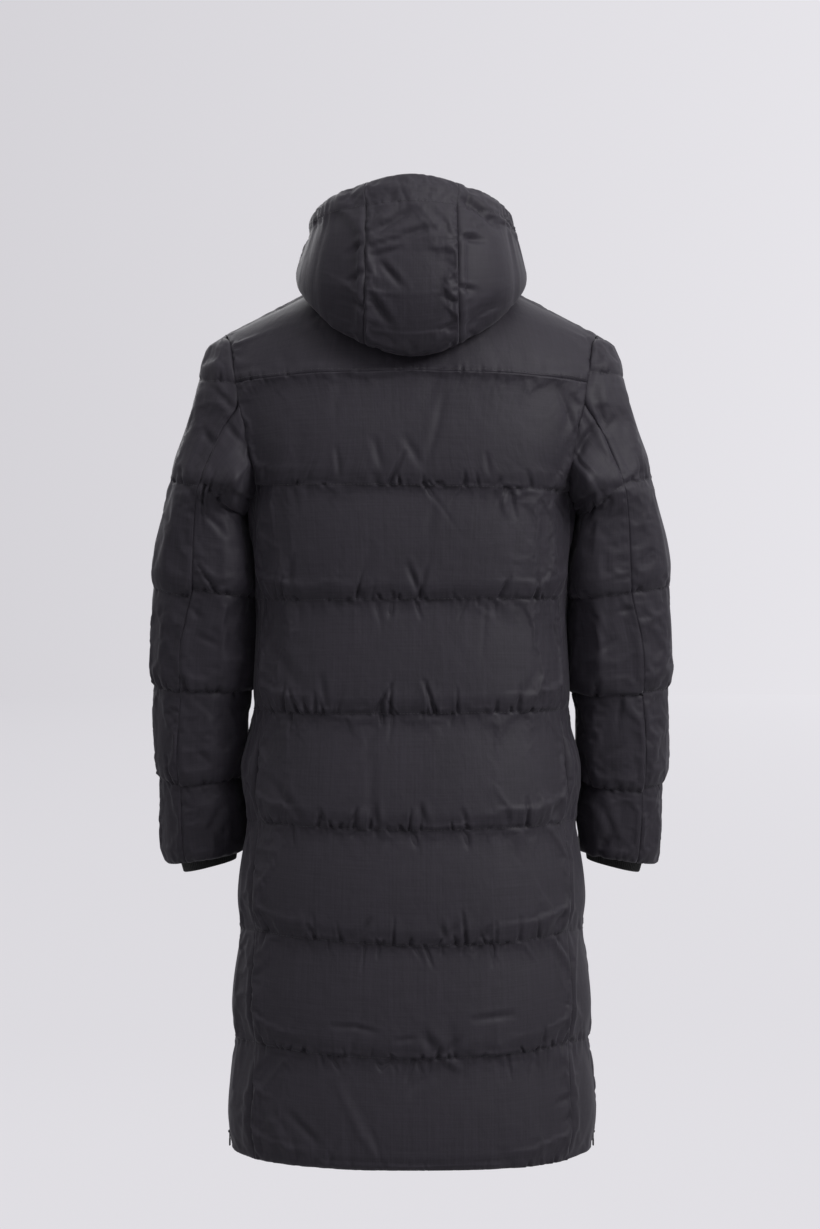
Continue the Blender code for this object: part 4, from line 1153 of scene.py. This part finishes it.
def hood_point(degrees, v):
    """v runs from 0 at the neck seam, down over the yoke, and up to 1 at the brim."""
    angle = math.radians(degrees)
    outward = Vector((math.sin(angle), math.cos(angle), 0))
    seat = neck(degrees) + outward * HOOD_SEAT[0] + Vector((0, 0, HOOD_SEAT[1]))
    stops = [((seat - Vector((0, NECK_Y, 0))).dot(outward), seat.z)]
    for name in ("lie", "fold", "belly", "crown", "brim"):
        stops.append((along(HOOD, name + "_r", degrees), along(HOOD, name + "_z", degrees)))
    profile = table("step r z", *[(i, r, z) for i, (r, z) in enumerate(stops)])
    at = v * (len(stops) - 1)
    radius, z = along(profile, "r", at), along(profile, "z", at)
    flat = outward * radius + Vector((0, NECK_Y, 0))
    return Vector((flat.x, flat.y, z)) if v > 0 else seat


def hood_seam_degrees(v, share):
    """The angle that keeps a line of the centre panel at its own distance from the middle."""
    base = HOOD_SEAM_DEG * share
    degrees = base
    for _ in range(6):
        radius = (hood_point(abs(degrees), v) - Vector((0, NECK_Y, 0))).xy.length
        degrees = math.degrees(math.asin(HOOD_SEAM_X * share / radius))
    ease = min(1, v / 0.3)
    return base + (degrees - base) * ease * ease * (3 - 2 * ease)


def hood_centre_point(share, v):
    point = hood_point(abs(hood_seam_degrees(v, share)), v)
    point.x = math.copysign(point.x, share) if share else 0.0
    return point


def hood_side_point(share, v):
    seam = hood_seam_degrees(v, 1)
    return hood_point(seam + (HOOD_END_DEG - seam) * share, v)


hood_rows = np.linspace(0, 1, HOOD_STEPS + 1)
hood_lines, hood_steps, hood_deep = [0, 9.0, 10], [40, 4], [0.0105, 0.008]
hood_side = form(hood_rows, np.linspace(0, 1, 9), lambda v, share: hood_side_point(share, v))
centre_form = form(hood_rows, np.linspace(-1, 1, 5), lambda v, share: hood_centre_point(share, v))
hood_beside = outward_of(hood_side)[:, 0]
centre_beside = outward_of(centre_form)[:, -1]
hood_creases = [
    (47, 31, 2, 57, 5.1, 5.1), (31, 18, -23, 37, 5.1, 4.4), (47, 1, 14, 12, 3.4, 3.7),
    (36, -7, 14, -33, 4.3, 3.4), (50, -46, 28, -77, 5.1, 5.1), (-40, -46, -51, -53, 3.4, 4.1),
    (-34, -88, -51, -77, 3.4, 4.1), (68, -52, 55, -63, 3.4, 4.4), (76, 5, 54, 24, 3.4, 4.1),
    (73, -28, 55, -12, 3.4, 3.7), (-58, 75, -82, 63, -102, 43, 5.1, 5.1),
    (-59, 26, -86, 24, 4.3, 4.1), (-56, -35, -73, -37, 3.4, 4.1), (-60, -85, -105, -50, 7.6, 3.7),
]
hood_cloth = dict(
    gather=0.0016, roomy=0.2, most=0.004, hang=(0.5, 0.5), drop=0, edges=(0.005, 0.005),
    sides=(HOOD_SEAM, HOOD_SEAM), creases=hood_creases, seam_thick=[(1, HOOD_BRIM_SEAM)],
)
finish_panel(quilted(
    "hood_centre", centre_form, hood_lines, hood_steps, 16, hood_deep, seed=51,
    pucker=(HOOD_PUCKER, HOOD_PUCKER), neighbours=(hood_beside * (-1, 1, 1), hood_beside),
    **hood_cloth,
))
for side, placed, seed in (("left", hood_side, 52), ("right", mirrored(hood_side), 53)):
    left = side == "left"
    finish_panel(quilted(
        "hood_side_" + side, placed, hood_lines, hood_steps, 32, hood_deep, seed=seed,
        pucker=(HOOD_PUCKER, 0) if left else (0, HOOD_PUCKER),
        neighbours=(centre_beside, None) if left else (None, centre_beside * (-1, 1, 1)),
        **hood_cloth,
    ))


# ---- The stand collar ----
# A plain padded band round the neck inside the hood, open at the front where the zip ends.

COLLAR_HEIGHT, COLLAR_LEAN, COLLAR_DEEP = 0.062, 0.93, 0.006


def collar_point(height, degrees):
    low = neck(abs(degrees))
    lean = 1 + (COLLAR_LEAN - 1) * height
    x = math.copysign(low.x, degrees) * lean
    return Vector((x, NECK_Y + (low.y - NECK_Y) * lean, low.z + COLLAR_HEIGHT * height))


half_turn = NECK_DEG_BACK[:-1] + NECK_DEG_FRONT
turns = [-degrees for degrees in half_turn[:0:-1]] + list(half_turn)
collar_form = form((0, 0.3, 0.65, 1), turns, collar_point)
collar_form[:, 0, 0], collar_form[:, -1, 0] = -FRONT_EDGE, FRONT_EDGE
finish_panel(quilted(
    "collar", collar_form, [0, 3], [7], 44, [COLLAR_DEEP], seed=61, gather=0.0005, roomy=0.1,
    most=0.002, drop=0, fold=0.0005, sides=(LINE_DEEP, LINE_DEEP), fill=0.4,
))


# ---- The storm cuffs ----
# A black rib-knitted tube sewn inside each sleeve, turned at its lower edge, of which a narrow band
# shows below the sleeve's hem.

CUFF_DEEP = 0.0025
CUFF_SEAT_Z = -0.6865
CUFF_RIBS = 84
CUFF_LEVELS = (  # z, half width, half depth, centre x, centre y, rise of the inner side
    (CUFF_SEAT_Z, 0.0411, 0.0521, 0.2650, -0.0424, 0.0069),
    (-0.710, 0.0370, 0.0470, 0.2630, -0.0480, 0.0060),
    (-0.7385, 0.0325, 0.0430, 0.2565, -0.0530, 0.0130),
    (-0.7495, 0.0305, 0.0410, 0.2555, -0.0540, 0.0160),
)
cuff_profile = [(t, CUFF_DEEP) for t in np.linspace(0, 2.85, 12)]
cuff_profile += [(2.95, 0.0023), (3.0, 0.0017), (3.02, 0.0010), (2.99, 0.0004)]
cuff_profile += [(t, 0.0) for t in np.linspace(2.9, 0, 7)]


def black_rib_knit():
    """Soft black cotton rib: a fuzzy, dull yarn with rows of small loops down each rib."""
    knit, tree, shader = finish(
        "black_rib_knit", Roughness=0.88, Specular_IOR_Level=0.2, Sheen_Weight=0.25,
        Sheen_Roughness=0.6,
    )
    spot = wired(tree, "TexCoord", {}).outputs["Object"]
    fuzz = wired(tree, "TexNoise", {"Vector": spot, "Scale": 900, "Detail": 3}).outputs["Fac"]
    shades(tree, shader, fuzz, (0.0050, 0.0050, 0.0055), (0.0140, 0.0138, 0.0150))
    loops = wired(tree, "TexWave", {"Vector": spot, "Scale": 210, "Distortion": 1.5},
                  bands_direction="Z")
    yarn = wired(tree, "Math", {0: loops.outputs["Fac"], 1: fuzz}, operation="ADD")
    raised(tree, shader, yarn.outputs[0], 0.5, 0.0003)
    return knit


def cuff_spot(step, deep, angle):
    """step counts down the cuff's levels; deep is how far the knit stands off its inner side."""
    i = min(int(step), 2)
    t = step - i
    z, wide, long, x, y, rise = [
        a + (b - a) * t for a, b in zip(CUFF_LEVELS[i], CUFF_LEVELS[i + 1])
    ]
    rib = 0.00035 * math.cos(angle * CUFF_RIBS) if deep > 0 else 0
    flat = ring(angle, long + deep + rib, wide + deep + rib, SLEEVE_SQUARE)
    return Vector((x + flat.y, y + flat.x, z + rise * (1 - math.cos(angle)) / 2))


knit = black_rib_knit()
around = math.tau * np.append(np.arange(CUFF_RIBS * 4), 0) / (CUFF_RIBS * 4)
cuff_form = form(cuff_profile + cuff_profile[:1], around, lambda at, angle: cuff_spot(*at, angle))
for side, turn in (("left", 1), ("right", -1)):
    tube = draped(cuff_form * (turn, 1, 1))
    bmesh.ops.remove_doubles(tube, verts=tube.verts, dist=1e-6)
    bmesh.ops.recalc_face_normals(tube, faces=tube.faces)
    cuff = built("storm_cuff_knit_" + side, tube, knit)
    worn(cuff, "storm_cuff_" + side)


# ---- The zips ----
# A black woven tape down the centre front, and a short one up each side seam from the hem, each
# with two rows of moulded teeth that mesh in its middle.

TAPE_DEEP = 0.0009
TAPE_CUT = 0.012  # its edges turn in between the panels, to be sewn there
TAPE_SECTION = ((-0.5, 1), (-0.5, 0.35), (-0.42, 0), (0, 0), (0.42, 0), (0.5, 0.35), (0.5, 1))
FRONT_ZIP_WIDE, FRONT_ZIP_OUT = 0.0086, 0.0018
VENT_ZIP_WIDE, VENT_ZIP_OUT = 0.0066, 0.0040
TAPE_STEP = 0.006
TOOTH_PITCH, TOOTH_PROUD, TOOTH_LEAN = 0.0021, 0.0009, 0.0008
TOOTH = dict(segments=6, radius1=0.00075, radius2=0.00045, depth=0.0028)
ZIP_END = 0.002  # the tape's bare ends


def black_tape():
    """Woven zip tape: dull black yarn in a fine twill."""
    tape, tree, shader = finish("black_zip_tape", Roughness=0.75, Specular_IOR_Level=0.3)
    spot = wired(tree, "TexCoord", {}).outputs["Object"]
    twill = wired(tree, "TexWave", {"Vector": spot, "Scale": 300, "Distortion": 0.8},
                  bands_direction="DIAGONAL").outputs["Fac"]
    shades(tree, shader, twill, (0.0080, 0.0080, 0.0090), (0.0190, 0.0188, 0.0205))
    raised(tree, shader, twill, 0.4, 0.0002)
    return tape


def dark_metal():
    """Black-plated zip metal, rubbed a little brighter here and there."""
    metal, tree, shader = finish("black_plated_metal", Metallic=0.85)
    spot = wired(tree, "TexCoord", {}).outputs["Object"]
    wear = wired(tree, "TexNoise", {"Vector": spot, "Scale": 420, "Detail": 4}).outputs["Fac"]
    shades(tree, shader, wear, (0.016, 0.016, 0.018), (0.055, 0.054, 0.058), (0.4, 0.75))
    rough(tree, shader, wear, 0.30, 0.48)
    raised(tree, shader, wear, 0.2, 0.0001)
    return metal


tape_cloth = black_tape()
zip_metal = dark_metal()


def zip_strip(name, path, outward, width):
    """Tape and teeth along a path; outward is the way the zip faces at each of its points."""
    count = int(spread(path[:, None], 0)[-1] / TAPE_STEP)
    at = np.linspace(0, len(path) - 1, count + 1)[:, None]
    line = smooth_between(path[:, None], at)[:, 0]
    facing = smooth_between(outward[:, None], at)[:, 0]
    facing /= np.linalg.norm(facing, axis=1, keepdims=True)
    up = np.gradient(line, axis=0)
    up /= np.linalg.norm(up, axis=1, keepdims=True)
    across = np.cross(up, facing)
    over, under = np.array(TAPE_SECTION).T[..., None]
    strip = draped(
        line[:, None] + across[:, None] * over * width
        - facing[:, None] * under * (TAPE_CUT - width) / 2
    )
    bmesh.ops.recalc_face_normals(strip, faces=strip.faces)
    bmesh.ops.solidify(strip, geom=strip.faces[:], thickness=TAPE_DEEP)
    bmesh.ops.recalc_face_normals(strip, faces=strip.faces)
    tape = built(name + "_tape", strip, tape_cloth, smooth=False)
    teeth = bmesh.new()
    steps = spread(line[:, None], 0)
    for k, far in enumerate(np.arange(ZIP_END, steps[-1] - ZIP_END, TOOTH_PITCH / 2)):
        spot = Vector([np.interp(far, steps, line[:, axis]) for axis in range(3)])
        n = min(int(np.searchsorted(steps, far)), count)
        frame_here = Matrix((across[n], up[n], facing[n])).transposed()
        way = 1 if k % 2 else -1
        tooth = bmesh.ops.create_cone(teeth, cap_ends=True, **TOOTH)["verts"]
        lie = Matrix.Rotation(math.radians(90 * way), 3, "Y")
        seat = spot + Vector(facing[n]) * TOOTH_PROUD + Vector(across[n]) * (way * TOOTH_LEAN)
        bmesh.ops.transform(teeth, verts=tooth,
                            matrix=Matrix.Translation(seat) @ (frame_here @ lie).to_4x4())
    bmesh.ops.recalc_face_normals(teeth, faces=teeth.faces)
    row = built(name + "_teeth", teeth, zip_metal, smooth=False)
    worn(tape, name)
    worn(row)
    return tape, row, float(steps[-1])


front_middle = np.concatenate([front_form()[:, -1], collar_form[1:, -1]]) * (0, 1, 1)
facing = np.tile((0, -1.0, 0), (len(front_middle), 1))
tape, row, length = zip_strip(
    "front_zip", front_middle + (0, -FRONT_ZIP_OUT, 0), facing, FRONT_ZIP_WIDE)

vent_middle = seam_line[: VENT_ROWS + 1].copy()
vent_middle[0] += (vent_middle[1] - vent_middle[0]) * 0.4  # the zip ends where the hem has climbed
vent_facing = outward_of(side_form)[: VENT_ROWS + 1, -1] * (1, 1, 0)
for side, turn in (("left", (1, 1, 1)), ("right", (-1, 1, 1))):
    placed = (vent_middle + vent_facing * VENT_ZIP_OUT) * turn
    tape, row, length = zip_strip("vent_zip_" + side, placed, vent_facing * turn, VENT_ZIP_WIDE)


# ---- The sliders and pulls ----
# A black-plated slider sits at the top of the front zip and near the foot of each vent zip. Its
# pull is a long flat tab that hangs and turns on a pin between two lugs.

SLIDER_PLATE, SLIDER_DEEP, SLIDER_FOOT = (0.0072, 0.0010, 0.015), 0.0035, 0.72
LUG, LUG_APART = (0.0010, 0.0044, 0.0032), 0.00305
PIN_OUT, PIN_LOW = 0.0062, 0.0045  # the pin's axis, out from the zip and below the slider's middle
PIN_RADIUS, PIN_LONG = 0.0006, 0.0062
EYE_HOLE, EYE_OUTER, EYE_WIDE = 0.00095, 0.0019, 0.0038


def rounded_box(shape, centre, size, bevel, pinch=None):
    """A block with soft edges; pinch narrows its lower end."""
    made = bmesh.ops.create_cube(shape, size=1)["verts"]
    for vert in made:
        narrow = pinch if pinch and vert.co.z < 0 else 1
        vert.co = Vector((vert.co.x * size[0] * narrow, vert.co.y * size[1], vert.co.z * size[2]))
        vert.co += Vector(centre)
    edges = list(dict.fromkeys(edge for vert in made for edge in vert.link_edges))
    bmesh.ops.bevel(shape, geom=edges, offset=bevel, segments=2, profile=0.5, affect="EDGES",
                    material=-1)


def metal_piece(node, shape, place, body):
    """A slider or a pull, set in its place."""
    bmesh.ops.transform(shape, verts=shape.verts, matrix=place)
    bmesh.ops.recalc_face_normals(shape, faces=shape.faces)
    piece = built(node + "_metal", shape, zip_metal)
    piece.data.set_sharp_from_angle(angle=math.radians(40))
    worn(piece, node, body)


def slider_shape():
    """Two plates and the post between them, with a pin held between two lugs on the outer one."""
    shape = bmesh.new()
    for y in (-0.0011, -SLIDER_DEEP + 0.0003):
        rounded_box(shape, (0, y, 0), SLIDER_PLATE, 0.0004, SLIDER_FOOT)
    rounded_box(shape, (0, -SLIDER_DEEP / 2, 0.0035), (0.0022, SLIDER_DEEP, 0.0050), 0.0003)
    for x in (-LUG_APART, LUG_APART):
        rounded_box(shape, (x, -0.0052, -PIN_LOW), LUG, 0.0004)
    bridge = bmesh.ops.create_cone(shape, cap_ends=True, segments=14, radius1=PIN_RADIUS,
                                   radius2=PIN_RADIUS, depth=PIN_LONG)["verts"]
    bmesh.ops.rotate(shape, verts=bridge, matrix=Matrix.Rotation(math.pi / 2, 3, "Y"))
    bmesh.ops.translate(shape, verts=bridge, vec=(0, -PIN_OUT, -PIN_LOW))
    return shape


def pull_shape():
    """The tab hangs from an eye round the pin, and is wider and thicker below."""
    shape = bmesh.new()
    bmesh.ops.create_circle(shape, segments=20, radius=EYE_OUTER)
    bmesh.ops.create_circle(shape, segments=20, radius=EYE_HOLE)
    bmesh.ops.bridge_loops(shape, edges=shape.edges[:])
    grown = bmesh.ops.extrude_face_region(shape, geom=shape.faces[:])["geom"]
    far = [vert for vert in grown if isinstance(vert, bmesh.types.BMVert)]
    bmesh.ops.translate(shape, verts=far, vec=(0, 0, EYE_WIDE))
    bmesh.ops.translate(shape, verts=shape.verts, vec=(0, 0, -EYE_WIDE / 2))
    bmesh.ops.rotate(shape, verts=shape.verts, matrix=Matrix.Rotation(math.pi / 2, 3, "Y"))
    rounded_box(shape, (0, 0, -0.0055), (0.0030, 0.0012, 0.0080), 0.0004)
    rounded_box(shape, (0, 0, -0.0138), (0.0040, 0.0016, 0.0094), 0.0006)
    bmesh.ops.translate(shape, verts=shape.verts, vec=(0, -PIN_OUT, -PIN_LOW))
    return shape


for joint, slider_node, pull_node in (
    ("front_tab_swing", "front_slider", "front_pull"),
    ("vent_tab_left_swing", "vent_slider_left", "vent_pull_left"),
    ("vent_tab_right_swing", "vent_slider_right", "vent_pull_right"),
):
    hinge = next(entry for entry in frame["joints"] if entry["name"] == joint)
    pin, axis = Vector(hinge["pos_m"]), Vector(hinge["axis"])
    across = -axis
    outward = across.cross(Vector((0, 0, 1))).normalized()
    turn = Matrix((across, -outward, Vector((0, 0, 1)))).transposed()
    place = Matrix.Translation(pin - turn @ Vector((0, -PIN_OUT, -PIN_LOW))) @ turn.to_4x4()
    metal_piece(slider_node, slider_shape(), place, "coat")
    metal_piece(pull_node, pull_shape(), place, hinge["child"])
